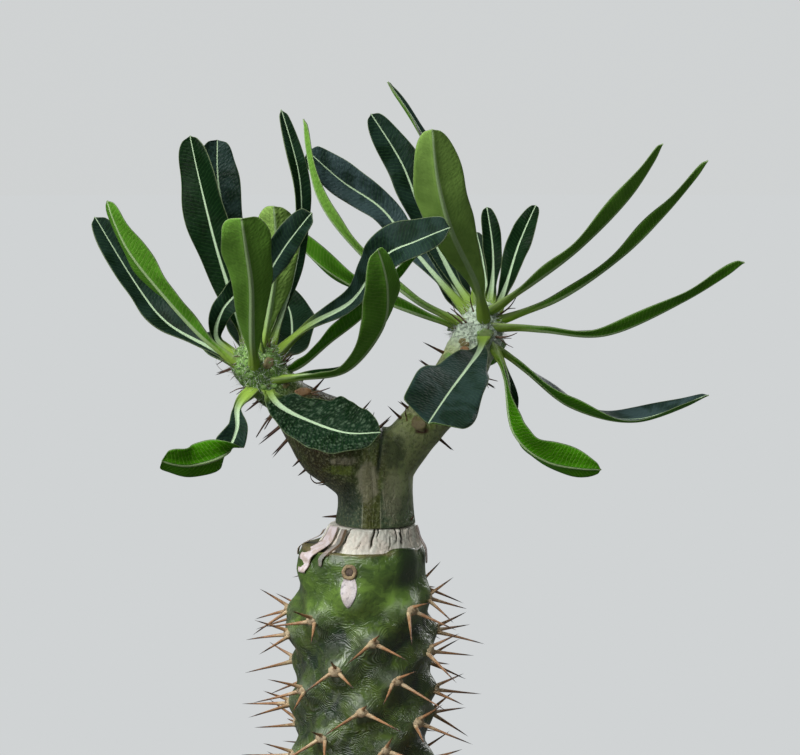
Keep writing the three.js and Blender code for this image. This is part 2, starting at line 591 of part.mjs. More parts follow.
function makeHead(name, place, leaves, grownScion) {
  const head = new THREE.Group();
  head.position.set(...place);
  const stump = toSolid(grownScion.clone().translate(...place.map((value) => -value)));
  leaves.forEach((leaf, order) => {
    const blade = toSolid(makeLeaf(leaf, order)).subtract(stump);
    const label = `leaf_${name}_${String(order + 1).padStart(2, "0")}`;
    head.add(named(label, toGeometry(blade), LEAF_GREEN));
  });
  return head;
}

const plant = new THREE.Group();
plant.add(named("pot", makePot(), CLAY));
plant.add(named("soil", makeSoil(), SOIL));
plant.add(named("rootstock", makeRootstock(), STOCK_SKIN));
plant.add(named("graft_callus", makeCallus(), CORK));
plant.add(named("scion_stem", makeScion(), SCION_SKIN));
const grownScion = toGeometry(bareScion(CLEARANCE));
plant.add(makeHead("left", LEFT_HEAD, LEFT_LEAVES, grownScion));
plant.add(makeHead("right", RIGHT_HEAD, RIGHT_LEAVES, grownScion));

export default plant;
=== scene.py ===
import math

import bmesh
import bpy
from bpy.props import FloatProperty, FloatVectorProperty, IntProperty, PointerProperty
from mathutils import Matrix, Vector, noise
from mathutils.bvhtree import BVHTree


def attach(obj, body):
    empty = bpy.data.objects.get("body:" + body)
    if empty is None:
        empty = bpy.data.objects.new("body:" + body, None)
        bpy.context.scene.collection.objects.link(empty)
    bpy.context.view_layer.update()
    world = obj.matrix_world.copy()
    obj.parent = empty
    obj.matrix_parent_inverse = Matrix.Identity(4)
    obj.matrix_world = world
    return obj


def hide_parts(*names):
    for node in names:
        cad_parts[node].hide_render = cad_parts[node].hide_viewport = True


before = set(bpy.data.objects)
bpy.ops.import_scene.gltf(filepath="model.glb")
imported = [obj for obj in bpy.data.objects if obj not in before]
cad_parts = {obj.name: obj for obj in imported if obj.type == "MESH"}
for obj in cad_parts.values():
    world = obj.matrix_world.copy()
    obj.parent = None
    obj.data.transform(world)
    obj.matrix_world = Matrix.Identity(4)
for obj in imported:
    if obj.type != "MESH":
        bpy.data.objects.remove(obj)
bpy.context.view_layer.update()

bl_info = {
    "name": "Potted grafted pachypodium",
    "version": (1, 0, 0),
    "blender": (4, 5, 0),
    "location": "3D View > Sidebar > Pachypodium",
    "description": "Builds the fine pieces and finishes of a grafted pachypodium in a clay pot",
    "category": "Add Mesh",
}

# Shapes are worked out in millimetres, in the frame of the solids, and scaled when a piece is made
MM = 0.001

# Pot and soil
POT_HEIGHT = 98
POT_RIM_RADIUS = 60
POT_BASE_RADIUS = 42
POT_WALL = 5
POT_FLOOR = 8
RIM_BAND_HEIGHT = 19
RIM_BAND_STEP = 3
POT_ROUNDING = 2
POT_TAPER = 1
DRAIN_HOLES = 5
DRAIN_RADIUS = 4
DRAIN_RING_RADIUS = 24
CLEARANCE = 0.3
SOIL_TOP = 88
BAND_FOOT = POT_HEIGHT - RIM_BAND_HEIGHT
BODY_RADIUS = POT_RIM_RADIUS - RIM_BAND_STEP - POT_TAPER

# Rootstock
STOCK_RADIUS = 21.2
SHOULDER_RADIUS = 23
SHOULDER_DEPTH = 28
GRAFT_HEIGHT = 200.5
FOOT_DEPTH = 26
FOOT_END_RADIUS = 16
GOLDEN_ANGLE = 137.5
FIRST_ANGLE = 245
FIRST_HEIGHT = 198.8
STEP_DOWN = 1.92
LOWEST_TUBERCLE = 5
TUBERCLE_RISE = 5.8
TUBERCLE_WIDTH = 4.6
TUBERCLE_ABOVE = 4.0
TUBERCLE_BELOW = 5.6
TOP_RISE = 0.25
RISING_TUBERCLES = 12
ANGLE_SCATTER = 8
HEIGHT_SCATTER = 2.4
RISE_SCATTER = 0.3
SOIL_FADE = 6
TOP_FADE = 6
EDGE_HEIGHT = 3
EDGE_DROP = 1.2
BARE_TUBERCLES = 4
SCAR_TUBERCLE = 6
TUBERCLE_SHIFTS = ((4, -6), (8, -5), (12, -5), (16, 3), (20, -3), (33, 3))
THORN_SETS = ((0.75, -0.3, 18), (-0.75, -0.35, 18), (0.1, 0.55, 12.5))
PAD_RADIUS = 1.8
PAD_DROP = 0.5
PAD_DEPTH = 0.6
SIDE_SCATTER = 0.4
UP_SCATTER = 0.5
LENGTH_SCATTER = 0.4
THORN_OVER_SOIL = 3

# Graft callus
CALLUS_TOP = 210
CALLUS_BASE_RADIUS = 19.8
CALLUS_TOP_RADIUS = 15.8
CALLUS_BASE_SHIFT = 2.3
CALLUS_TOP_SHIFT = 3.6

# Scion: the points and the radii of each stem's axis, and its thorns as (way along, angle, length)
TRUNK = ((4.8, 0, 210), (4.8, 0, 216), (4.8, 0, 225), (5, 0, 234), (6, 0, 241), (7, 0, 245))
TRUNK_RADII = (14.6, 13.8, 13.6, 14, 11, 4)
LEFT_BRANCH = (
    (3, 0, 226), (-4, 0, 234), (-11, -1, 241), (-20, -1, 249), (-27, -2, 256), (-34, -2, 263),
    (-38, -3, 270), (-40, -3, 276),
)
LEFT_RADII = (12, 13.8, 15, 11, 8, 8.6, 9.4, 4)
RIGHT_BRANCH = (
    (9, 0, 229), (17, 0, 240), (23, 1, 247), (29, 1, 255), (35, 2, 264), (39, 3, 272), (43, 4, 281),
    (45, 4, 290),
)
RIGHT_RADII = (9, 8.5, 8.3, 8.8, 8.9, 8.6, 8.2, 3.5)
TRUNK_THORNS = ((0.1, -88, 6), (0.38, -96, 8), (0.3, 160, 6), (0.86, -10, 7))
LEFT_THORNS = (
    (0.27, -92, 4), (0.33, -70, 4), (0.42, -88, 9), (0.48, -104, 11), (0.56, -84, 4), (0.66, -98, 7),
    (0.86, -92, 7), (0.5, 84, 7), (0.28, 62, 8), (0.16, 80, 8), (0.4, 170, 8), (0.56, 140, 7),
    (0.7, -160, 7), (0.72, 100, 5),
)
RIGHT_THORNS = (
    (0.26, 92, 7), (0.44, 84, 6), (0.6, 90, 6), (0.78, 112, 6), (0.86, 128, 5), (0.28, -80, 5),
    (0.2, -70, 7), (0.52, -88, 7), (0.64, -84, 9), (0.34, 175, 7), (0.5, 150, 7), (0.66, -165, 7),
    (0.76, 140, 6), (0.4, -30, 4),
)
STEMS = (
    (TRUNK, TRUNK_RADII, TRUNK_THORNS),
    (LEFT_BRANCH, LEFT_RADII, LEFT_THORNS),
    (RIGHT_BRANCH, RIGHT_RADII, RIGHT_THORNS),
)

# Leaves: midrib points from the middle of the head, width, facing directions, then the share of the
# stalk, the bluntness of the tip, and the tone as (painted bluish sheen, painted light from behind, roughness
# of the relief)
LEFT_HEAD = (-38, -3, 266)
LEFT_LEAVES = (
    (((-4, 1, 1), (-15, 5, 6.5), (-33, 12, 16), (-45, 18, 30), (-60, 23, 54)), 12.5,
     ((4, -10, 9), (5, -10, 6)), 0.1, 0.5, (0.28, 0.1, 0.3)),
    (((-4, -2, 2), (-18, -5, 12.5), (-32, -7, 28), (-44, -9, 44), (-51, -11, 61)), 12,
     ((5, 5, 9), (6, 9, 4)), 0.1, 0.75, (0.0, 0.15, 0.4)),
    (((-2, 3, 3), (-6.5, 7, 18), (-14, 11, 41), (-20, 15, 64), (-24.5, 18, 83.5)), 16,
     ((0, -10, 3), (-5, -9, 1)), 0.1, 0.65, (0.04, 0.0, 0.35)),
    (((0, 6, 3), (-5, 13, 24), (-11, 20, 47), (-15, 26, 67), (-15.5, 30, 82)), 15,
     ((1, -10, 4), (2, -10, 2)), 0.1, 0.55, (0.55, 0.0, 0.8)),
    (((0, -3, 0), (0, -21, 13), (1, -39, 33), (0, -51, 47), (-1, -57, 56.5)), 17,
     ((0, 5, 10), (-1, 10, 6)), 0.05, 0.5, (0.0, 0.4, 0.4)),
    (((2, -1, 3), (5, -6, 19), (7.5, -12, 33.5), (8.5, -17, 48), (8, -22, 59.5)), 15.5,
     ((1, 8, 6), (1, 10, 4)), 0.1, 0.65, (0.0, 1.0, 0.7)),
    (((1, -2, 1), (2, -13, 17), (4, -23, 31), (11.5, -31, 44.5), (21.5, -38, 57.5)), 11,
     ((-3, -10, 4), (-5, -10, 2)), 0.3, 0.45, (0.35, 0.0, 0.4)),
    (((3, 1, 3), (7.5, 3, 15), (13, 4, 32), (16, 5, 48.5), (15.5, 8, 69), (9, 13, 93)), 7,
     ((3, -10, 4), (8, -10, 1), (5, -10, 1)), 0.1, 0.5, (0.15, 0.0, 0.3)),
    (((4, -1, 4), (18, -5, 15.5), (34, -15, 25), (42, -26, 36), (48, -33, 43.5), (57.5, -40, 48),
     (68.5, -47, 53)), 17,
     ((-4, -6, 10), (-6, -10, 4), (-3, -9, 7)), 0.04, 0.5, (0.45, 0.0, 0.4)),
    (((2, -3, -2), (16.5, -11, -1), (33, -24, 3), (45, -39, 18), (47, -48, 32), (44, -54, 46)), 19,
     ((0, -2, 10), (-8, 4, 5), (-8, 8, 0)), 0.1, 0.6, (0.0, 0.25, 0.3)),
    (((3, 2, -1), (14.5, 0, 1.5), (26.5, -4, 11), (40, -8, 22), (57, -13, 41.5)), 18,
     ((-5, 0, 10), (-6, 2, 8)), 0.1, 0.72, (0.1, 0.0, 0.3)),
    (((4, 5, 2), (8, 17, 3), (11, 35, 6), (10, 53, 16), (5, 65, 25)), 17,
     ((0, -3, 10), (1, -6, 10)), 0.1, 0.72, (0.15, 0.0, 0.5)),
    (((-5, 0, 4), (-14, 1, 11), (-12, 0, 21), (-5, -1, 30), (0, -2, 43)), 9,
     ((3, -6, 8), (1, -10, 2)), 0.1, 0.72, (0.15, 0.0, 0.3)),
    (((0, -5, -5), (-5.5, -14, -11.5), (-5.5, -24, -19), (-9.5, -32, -26), (-20.5, -37, -29),
     (-30, -41, -27)), 13.5,
     ((0, -4, 10), (3, -6, 8), (1, 9, 5), (1, 9, 5)), 0.1, 0.4, (0.35, 0.0, 0.4)),
    (((3, -3, -3), (8.5, -13, -11), (21, -25, -16), (33.5, -35, -18.5), (45, -43, -17)), 23,
     ((0, -8, 9), (2, -12, 7)), 0.1, 0.8, (0.12, 0.0, 1.5)),
    (((-1, 4, -1), (-5, 24, 8), (-7, 46, 15), (-7, 66, 19)), 15,
     ((0, -3, 10), (0, -2, 10)), 0.1, 0.72, (0.15, 0.0, 0.4)),
    (((3, 4, -1), (6, 22, -6), (8, 43, -14), (8, 62, -24)), 15,
     ((0, 1, 10), (0, 3, 10)), 0.1, 0.72, (0.2, 0.1, 0.5)),
    (((-3, 3, -1), (-14, 20, 3), (-26, 40, 8), (-34, 58, 8)), 15,
     ((0, -1, 10), (0, 2, 10)), 0.1, 0.72, (0.2, 0.0, 0.4)),
)
RIGHT_HEAD = (44, 4, 283)
RIGHT_LEAVES = (
    (((-3, 1, -3), (-21, 4, 2), (-40, 8, 9), (-59, 12, 20), (-79, 15, 40)), 13,
     ((1, 5, 10), (4, 5, 8)), 0.1, 0.5, (0.1, 0.1, 0.03)),
    (((-3, -2, -1), (-22.5, -2, 7), (-44, -1, 25), (-59, 0, 45), (-64.5, 1, 72.5)), 7,
     ((5, 4, 9), (9, 4, 5)), 0.1, 0.65, (0.0, 0.4, 0.4)),
    (((-2, 2, -1), (-14.5, 4, 12.5), (-26, 8, 26), (-37, 11, 40), (-51.5, 13, 50), (-64, 14, 61)), 13,
     ((1, -10, 4), (1, -10, 4)), 0.1, 0.4, (1.0, 0.0, 0.7)),
    (((-1, 4, 1), (-11, 11, 15), (-23, 17, 40), (-30, 20, 57), (-41, 23, 74.5)), 13,
     ((1, -10, 3), (1, -10, 1)), 0.1, 0.6, (0.3, 0.0, 0.4)),
    (((0, -4, 0), (-3.5, -18, 15), (-12.5, -35, 34), (-17.5, -47, 52), (-19.5, -56, 69)), 18,
     ((0, 8, 8), (0, 10, 5)), 0.1, 0.72, (0.3, 0.85, 0.25)),
    (((-1, -1, 3), (-5, 1, 29), (-14, 4, 51), (-24.5, 6, 71), (-34.5, 8, 86)), 6,
     ((8, -5, 3), (8, -5, 3)), 0.1, 1.1, (0.4, 0.3, 0.03)),
    (((1, -2, 3), (3, 0, 15), (3, 2, 27), (1, 4, 41)), 7,
     ((0, -10, 3), (0, -10, 2)), 0.1, 0.6, (0.1, 0.0, 0.3)),
    (((4, 4, 2), (8.5, 16, 11.5), (14, 32, 26), (21, 44, 40.5)), 9,
     ((-2, -8, 8), (-1, -9, 6)), 0.1, 0.7, (0.05, 0.0, 0.4)),
    (((1, 7, 3), (1, 17, 13), (0, 23, 22), (-2, 28, 31)), 6,
     ((0, -9, 6), (0, -9, 5)), 0.1, 0.72, (0.1, 0.1, 0.4)),
    (((1, -4, 5), (16.5, -10, 15), (34, -13, 28.5), (50.5, -16, 46), (61.5, -18, 64)), 14,
     ((-4, 1, 10), (-7, 4, 7)), 0.1, 0.8, (0.1, 0.25, 0.03)),
    (((2, -2, 1), (25.5, -3, 8.5), (48.5, -4, 24), (64.5, -5, 40), (79, -6, 58)), 11,
     ((-3, 2, 10), (-6, 4, 8)), 0.1, 0.85, (0.1, 0.2, 0.03)),
    (((1, -4, 0), (21.5, -8, -2), (43.5, -12, -3), (70, -15, 9), (91, -17, 22.5)), 11,
     ((0, 1, 10), (-3, 4, 9)), 0.1, 0.65, (0.5, 0.1, 0.03)),
    (((1, -2, -5), (15.5, -4, -17), (32, -7, -30), (54.5, -11, -34.5), (79.5, -14, -25)), 16.5,
     ((6, 0, 8), (2, 1, 10), (-3, -3, 10)), 0.1, 0.8, (1.0, 0.0, 0.1)),
    (((4, -5, -7), (8, -14, -19), (10.5, -22, -37.5), (22, -28, -47), (40, -34, -49)), 17.5,
     ((9, -4, 4), (7, 3, 6), (1, 8, 6)), 0.1, 0.72, (0.1, 0.0, 0.4)),
    (((0, -5, -4), (-2.5, -28, -8), (-7.5, -48, -12.5), (-14, -68, -18.5), (-21, -88, -26)), 24.5,
     ((0, -3, 10), (4, -6, 9)), 0.1, 0.2, (0.55, 0.0, 0.5)),
    (((-2, 4, -4), (-4, 22, -5), (-5, 42, -7), (-7, 60, -10)), 14,
     ((0, -3, 10), (0, -2, 10)), 0.1, 0.72, (0.2, 0.0, 0.4)),
    (((-2, 5, -3), (-7, 22, 4), (-13, 42, 16), (-17, 58, 32)), 14,
     ((0, -4, 10), (0, -6, 9)), 0.1, 0.72, (0.2, 0.0, 0.5)),
    (((2, 4, -3), (4, 22, -9), (2, 42, -17), (-4, 60, -26)), 14,
     ((0, 1, 10), (0, 3, 10)), 0.1, 0.72, (0.2, 0.1, 0.5)),
)
LONG_BASE = 1.2
STALK_SHARE = 0.1
STALK_HALF_WIDTH = 1.7
TIP_HALF_WIDTH = 0.5
STALK_THICKNESS = 2.6
CHANNEL = 0.28
WAVES_PER_BLADE = 2.6
WAVY_HALF_WIDTH = 5
BLADE_START = 0.6
BLADE_FULL = 2
TIP_CROWDING = 1.4
SHORT_STEP = 0.02
THORN_PAIR_LEAN = 0.3
THORN_SINK = 0.5

# What only the fine pieces have: the cells round or across them and the rows along them
STOCK_CELLS = (200, 190)
CALLUS_CELLS = (320, 34)
STEM_CELLS = (64, 90)
LEAF_CELLS = (20, 72)
DROP_CELLS = (22, 34)
FLAP_CELLS = (8, 22)
SOIL_RINGS = 24
# The scion's skin has cells this wide, and is smoothed this often round the fork and then all over
VOXEL = 0.62
FORK_MIDDLE = (7, 0, 246)
FORK_REACH = 17
FORK_ROUNDS = 14
SKIN_ROUNDS = 3
# The groove below the fork: its top, its length and where it runs at its top and its foot
GROOVE_TOP = 245.6
GROOVE_LENGTH = 14.4
GROOVE_TOP_X = 7.6
GROOVE_FOOT_X = 5.9
# Leaf skins: cells crowd at the midrib, the stalk flares at its foot, and the midrib has a keel and a groove
EDGE_CROWDING = 1.35
RIPPLES_PER_BLADE = 6.7
SWINGS_PER_BLADE = 3.3
STALK_FLARE = 0.5
FLARE_FROM = 5
FLARE_TO = 14
KEEL_HALF_WIDTH = 0.95
RIB_GROOVE_DEPTH = 0.18
RIB_GROOVE_HALF_WIDTH = 0.7
# The round scar under the graft, and the pale drop that hangs from it
SCAR_ANGLE = math.radians(-10.2)
SCAR_HEIGHT = 196.0
SCAR_RING_RADIUS = 2.1
SCAR_PITH_RADIUS = 1.75
SCAR_DROP_START = 2.0
SCAR_DROP_LENGTH = 10.2
SCAR_DROP_HALF_WIDTH = 3.9
# The hairs and young thorns of each head grow within this reach of its middle
HEAD_REACH = 13.5
YOUNG_THORNS = 16
HAIR_RADIUS = 0.08
YOUNG_THORN_RADIUS = 0.3
# Where the camera looks, in millimetres, and where the lights point and how wide they are, in metres
CAMERA_TARGET = (13.7, 0, 262.9)
LIGHT_TARGET = (0.01, 0, 0.25)
LIGHT_SIZE = 0.8


def tint(red, green, blue):
    """A display colour of 0 to 255 as a linear colour with an alpha of 1."""
    def linear(value):
        share = value / 255
        return share / 12.92 if share <= 0.04045 else ((share + 0.055) / 1.055) ** 2.4
    return (linear(red), linear(green), linear(blue), 1.0)


def mix(low, high, share):
    return low + (high - low) * share


def smoothstep(value, low, high):
    share = min(max((value - low) / (high - low), 0.0), 1.0)
    return share * share * (3 - 2 * share)


def seeded_random(seed):
    """The same row of numbers between 0 and 1 as the solids are drawn with."""
    state = seed
    while True:
        state = state * 16807 % 2147483647
        yield state / 2147483647


def along_curve(rows, t):
    """The point at share t of a smooth curve through rows of numbers."""
    last = len(rows) - 1
    start = min(int(t * last), last - 1)
    f = t * last - start
    a, b, c, d = (rows[min(max(index, 0), last)] for index in range(start - 1, start + 3))
    return Vector([
        q + 0.5 * f * (r - p + f * (2 * p - 5 * q + 4 * r - e + f * (3 * (q - r) + e - p)))
        for p, q, r, e in zip(a, b, c, d)
    ])


def heading_at(rows, t):
    """The way a curve runs at share t."""
    return along_curve(rows, min(1, t + SHORT_STEP)) - along_curve(rows, max(0, t - SHORT_STEP))


def square_to(vector, heading):
    """A vector made square to a heading, with a length of 1."""
    return (vector - heading * vector.dot(heading)).normalized()


def at_angle(radius, angle, height, shift=0.0):
    """The point at a radius and height, at an angle from the front towards +X."""
    return Vector((radius * math.sin(angle) + shift, -radius * math.cos(angle), height))


# Colours and sizes


def colour(name, description, default):
    return FloatVectorProperty(
        name=name, description=description, default=default, size=4, min=0, max=1, subtype="COLOR",
    )


def length(name, description, default):
    return FloatProperty(name=name, description=description, default=default, min=0, unit="LENGTH")


class LeafSettings(bpy.types.PropertyGroup):
    """Leaves"""
    upper: colour("Upper face", "Colour of the upper face of a blade", tint(6, 32, 5))
    under: colour("Under face", "Colour of the under face of a blade", tint(66, 132, 8))
    # Painted light: the under face as seen lit through the blade from behind.
    light: colour("Young under face", "Under face of the lightest leaves", tint(146, 182, 92))
    # Painted reflection: the bluish sheen of the lights on the upper face.
    bloom: colour("Bloom", "Bluish bloom on the upper face", tint(78, 96, 104))
    rib: colour("Midrib", "Colour of the midrib on the upper face", tint(172, 196, 160))
    stalk: colour("Stalk", "Colour of the leaf stalks", tint(134, 164, 66))
    thickness: length("Blade thickness", "Thickness of a blade at its margin", 0.65 * MM)
    rib_thickness: length("Midrib thickness", "Thickness of a blade at its midrib", 1.5 * MM)
    wave: length("Margin wave", "Height of the long waves of the margins", 0.9 * MM)
    ripple: length("Margin ripple", "Height of the short ripples of the margins", 0.35 * MM)
    vein_spacing: length("Vein spacing", "Distance between side veins", 1.5 * MM)
    uneven: FloatProperty(name="Uneven margin", description="Share by which the margins swing in and out",
                          default=0.045, min=0, max=0.2)


class StockSettings(bpy.types.PropertyGroup):
    """Rootstock and graft"""
    light: colour("Light skin", "Yellow-green skin", tint(82, 104, 34))
    young: colour("Young skin", "Yellow-green skin below the graft", tint(108, 140, 56))
    # The dark colour serves the real dark mottling and lobe, and also the painted shade in the grooves.
    dark: colour("Dark skin", "Dark green skin of the grooves", tint(18, 38, 20))
    # Painted sheen: the silvery highlight of the lights on the crests and round the areoles.
    painted_sheen_colour: colour("Silvery skin", "Wrinkled silvery skin", tint(126, 138, 122))
    wool: colour("Areole wool", "Wool at the feet of the thorns", tint(186, 168, 134))
    thorn: colour("Thorn foot", "Thorns near their feet", tint(208, 188, 150))
    thorn_middle: colour("Thorn", "Thorns along their length", tint(160, 118, 82))
    thorn_tip: colour("Thorn tip", "Tips of the thorns", tint(56, 38, 30))
    cork: colour("Cork", "Healed cork of the graft", tint(240, 237, 224))
    cork_shade: colour("Cork shade", "Tan and pink patches of the cork", tint(226, 208, 192))
    crack: colour("Cracks", "Bottom of the cracks in the cork", tint(52, 44, 30))
    flap: colour("Peeling bark", "Dry flaps that peel off the graft", tint(168, 154, 146))
    thorn_radius: length("Thorn radius", "Radius of a thorn at its foot", 1.15 * MM)
    wrinkle: length("Wrinkles", "Depth of the wrinkles in the skin", 0.3 * MM)
    crack_depth: length("Crack depth", "Depth of the cracks in the cork", 0.9 * MM)


class ScionSettings(bpy.types.PropertyGroup):
    """Scion"""
    bark: colour("Bark", "Grey-green bark of the forked stem", tint(102, 116, 60))
    green: colour("Green bark", "Green bark in the shade and at the fork", tint(44, 70, 28))
    brown: colour("Brown bark", "Brown tinge of the left branch", tint(50, 44, 18))
    head: colour("Head", "Green, downy bark between the leaf stalks", tint(112, 152, 72))
    wool: colour("Wool", "White fibres between the leaf stalks", tint(224, 230, 222))
    bristle: colour("Bristles", "Young thorns between the leaf stalks", tint(84, 58, 38))
    thorn: colour("Thorns", "Thorns of the forked stem", tint(78, 50, 34))
    scar: colour("Leaf scars", "Scars that fallen leaves left", tint(118, 112, 68))
    thorn_radius: length("Thorn radius", "Radius of a thorn at its foot", 1.05 * MM)
    fibre: length("Fibre length", "Length of the white fibres", 3.6 * MM)
    fibres: IntProperty(name="Fibres", description="Fibres on each head", default=520, min=0)


class PotSettings(bpy.types.PropertyGroup):
    """Pot and soil"""
    clay: colour("Clay", "Fired clay", tint(178, 108, 74))
    clay_dark: colour("Damp clay", "Clay that holds water", tint(140, 82, 58))
    bloom: colour("Lime bloom", "Lime that dries on the clay", tint(214, 196, 176))
    soil: colour("Soil", "Fine part of the potting mix", tint(74, 62, 50))
    stone: colour("Pumice", "Pale grit on the soil", tint(188, 180, 162))
    stone_red: colour("Lava", "Red-brown grit on the soil", tint(120, 78, 58))
    grit: length("Grit size", "Size of the grit on the soil", 2.6 * MM)
    stones: IntProperty(name="Stones", description="Pieces of grit on the soil", default=620, min=0)


class StageSettings(bpy.types.PropertyGroup):
    """Stage"""
    backdrop: colour("Backdrop", "Colour of the backdrop", tint(208, 211, 212))
    room: colour("Room", "Soft light of the room around the plant", tint(104, 106, 106))
    floor: colour("Floor", "Colour of the floor", tint(206, 207, 205))
    overhead: FloatProperty(name="Overhead light", description="Power of the soft box above",
                            default=15.0, min=0, unit="POWER")
    side: FloatProperty(name="Side light", description="Power of the soft box at the left",
                        default=10.0, min=0, unit="POWER")
    back: FloatProperty(name="Back light", description="Power of the soft box behind the plant",
                        default=6.0, min=0, unit="POWER")
    distance: length("Camera distance", "From the camera to the plant", 0.85)
    lens: FloatProperty(name="Lens", description="Focal length in millimetres", default=106.25, min=1)
    pitch: FloatProperty(name="Pitch", description="How far the camera looks down",
                         default=math.radians(6), subtype="ANGLE")


class PachypodiumSettings(bpy.types.PropertyGroup):
    leaves: PointerProperty(type=LeafSettings)
    stock: PointerProperty(type=StockSettings)
    scion: PointerProperty(type=ScionSettings)
    pot: PointerProperty(type=PotSettings)
    stage: PointerProperty(type=StageSettings)


def settings():
    return bpy.context.scene.pachypodium


# Making pieces


def to_mesh(name, bm):
    """Turns a bmesh into a mesh, and frees it."""
    mesh = bpy.data.meshes.new(name)
    bm.to_mesh(mesh)
    bm.free()
    return mesh


def add_object(name, data):
    """Puts an object into the scene."""
    added = bpy.data.objects.new(name, data)
    bpy.context.scene.collection.objects.link(added)
    return added


def pour_into(whole, part):
    """Adds one bmesh to another, and frees it."""
    mesh = to_mesh("part", part)
    whole.from_mesh(mesh)
    bpy.data.meshes.remove(mesh)


def set_smooth(mesh, smooth=True):
    mesh.polygons.foreach_set("use_smooth", [smooth] * len(mesh.polygons))


def bake_modifiers(piece):
    """Applies a piece's modifiers to its mesh, and shades it smooth."""
    graph = bpy.context.evaluated_depsgraph_get()
    mesh = bpy.data.meshes.new_from_object(piece.evaluated_get(graph))
    piece.modifiers.clear()
    old = piece.data
    piece.data = mesh
    bpy.data.meshes.remove(old)
    set_smooth(mesh)


def turn_out(bm):
    """Turns the faces of one closed skin outwards."""
    bmesh.ops.recalc_face_normals(bm, faces=bm.faces[:])
    if bm.calc_volume(signed=True) < 0:
        bmesh.ops.reverse_faces(bm, faces=bm.faces[:])


def grid_sheet(across, along, closed=False):
    """A grid of -1 to 1 by -1 to 1. A closed one has a second layer at a height of 1 and a rim."""
    bm = bmesh.new()
    bmesh.ops.create_grid(bm, x_segments=across, y_segments=along, size=1)
    if closed:
        made = bmesh.ops.extrude_face_region(bm, geom=bm.faces[:], use_keep_orig=True)["geom"]
        layer = [item for item in made if isinstance(item, bmesh.types.BMVert)]
        bmesh.ops.translate(bm, verts=layer, vec=(0, 0, 1))
    return bm


def wrap_round(around, up, place):
    """A closed skin round an axis: place(angle, share) gives the point, and both ends are poles."""
    bm = grid_sheet(around, up)
    for vert in bm.verts:
        vert.co = place(math.pi * vert.co.x, (vert.co.y + 1) / 2)
    bmesh.ops.remove_doubles(bm, verts=bm.verts[:], dist=0.002)
    turn_out(bm)
    return bm


def frame_along(direction):
    """A matrix that turns +Z into a direction."""
    return direction.to_track_quat("Z", "Y").to_matrix()


def spike_pattern(sides, rings):
    """A mesh of a pointed rod of radius 1 and height 1, in rings, to copy for every thorn."""
    bm = bmesh.new()
    bmesh.ops.create_circle(bm, cap_ends=True, segments=sides, radius=1)
    edges = bm.edges[:]
    for _ in range(rings):
        made = bmesh.ops.extrude_edge_only(bm, edges=edges)["geom"]
        loop = [item for item in made if isinstance(item, bmesh.types.BMVert)]
        edges = [item for item in made if isinstance(item, bmesh.types.BMEdge)]
        edges = [edge for edge in edges if set(edge.verts) <= set(loop)]
        bmesh.ops.translate(bm, verts=loop, vec=(0, 0, 1 / rings))
    bmesh.ops.pointmerge(bm, verts=loop, merge_co=(0, 0, 1))
    turn_out(bm)
    bm.verts.layers.float_vector.new("spike")
    return to_mesh("spike", bm)


def add_copy(bm, pattern):
    """Adds a copy of a mesh, and gives its vertices."""
    start = len(bm.verts)
    bm.from_mesh(pattern)
    bm.verts.ensure_lookup_table()
    return bm.verts[start:]


def add_spike(bm, pattern, foot, direction, reach, radius, bend=(0, 0, 0)):
    """A slender thorn on a foot, its root sunk in the skin, that bends towards its tip."""
    verts = add_copy(bm, pattern)
    marks = bm.verts.layers.float_vector["spike"]
    turn = frame_along(direction)
    for vert in verts:
        share = vert.co.z
        flat = Vector((vert.co.x, vert.co.y, 0)) * radius * mix(1, 0.1, share ** 0.6)
        sunk = share * (reach + 2 * radius) - 2 * radius
        vert[marks] = (share, reach, 0)
        vert.co = foot + turn @ (flat + Vector((0, 0, sunk))) + Vector(bend) * share * share


def make_piece(name, bm, material, replaces=(), smooth=True):
    """Turns a bmesh in millimetres into a piece in metres that goes with the plant."""
    bmesh.ops.scale(bm, vec=(MM, MM, MM), verts=bm.verts[:])
    mesh = to_mesh(name, bm)
    mesh.materials.append(material)
    set_smooth(mesh, smooth)
    piece = add_object(name, mesh)
    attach(piece, "root")
    if replaces:
        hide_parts(*replaces)
    return piece


# Materials


def feed(tree, node, inputs):
    """Sets or links the inputs of a node."""
    for key, value in inputs.items():
        if isinstance(value, bpy.types.NodeSocket):
            tree.links.new(value, node.inputs[key])
        else:
            node.inputs[key].default_value = value


def put(tree, kind, inputs, **options):
    """Adds a node, sets its options, and sets or links its inputs."""
    node = tree.nodes.new("ShaderNode" + kind)
    for option, value in options.items():
        setattr(node, option, value)
    feed(tree, node, inputs)
    return node


def maths(tree, operation, first, second=0.0, third=0.0, clamp=False):
    inputs = {0: first, 1: second, 2: third}
    return put(tree, "Math", inputs, operation=operation, use_clamp=clamp).outputs[0]


def times(tree, first, second):
    return maths(tree, "MULTIPLY", first, second)


def add_times(tree, first, second, third, clamp=False):
    """First times second, plus third."""
    return maths(tree, "MULTIPLY_ADD", first, second, third, clamp)


def one_less(tree, value):
    """What is left of 1."""
    return maths(tree, "SUBTRACT", 1.0, value)


def ramp(tree, value, low, high, to_low=0.0, to_high=1.0):
    """Turns a range of values into another, with soft ends."""
    inputs = {0: value, 1: low, 2: high, 3: to_low, 4: to_high}
    return put(tree, "MapRange", inputs, interpolation_type="SMOOTHSTEP").outputs[0]


def blend(tree, share, first, second):
    return put(tree, "Mix", {0: share, 6: first, 7: second}, data_type="RGBA").outputs[2]


def tinge(tree, base, mask, amount, stain):
    """Lays a colour over a base where a mask is, at an amount."""
    return blend(tree, times(tree, mask, amount), base, stain)


def blend_value(tree, share, first, second):
    """Blends two numbers that change over a surface."""
    gap = maths(tree, "SUBTRACT", second, first)
    return add_times(tree, share, gap, first)


def cloud(tree, place, scale, detail):
    """Plain noise, from 0 to 1."""
    inputs = {"Vector": place, "Scale": scale, "Detail": detail}
    return put(tree, "TexNoise", inputs).outputs[0]


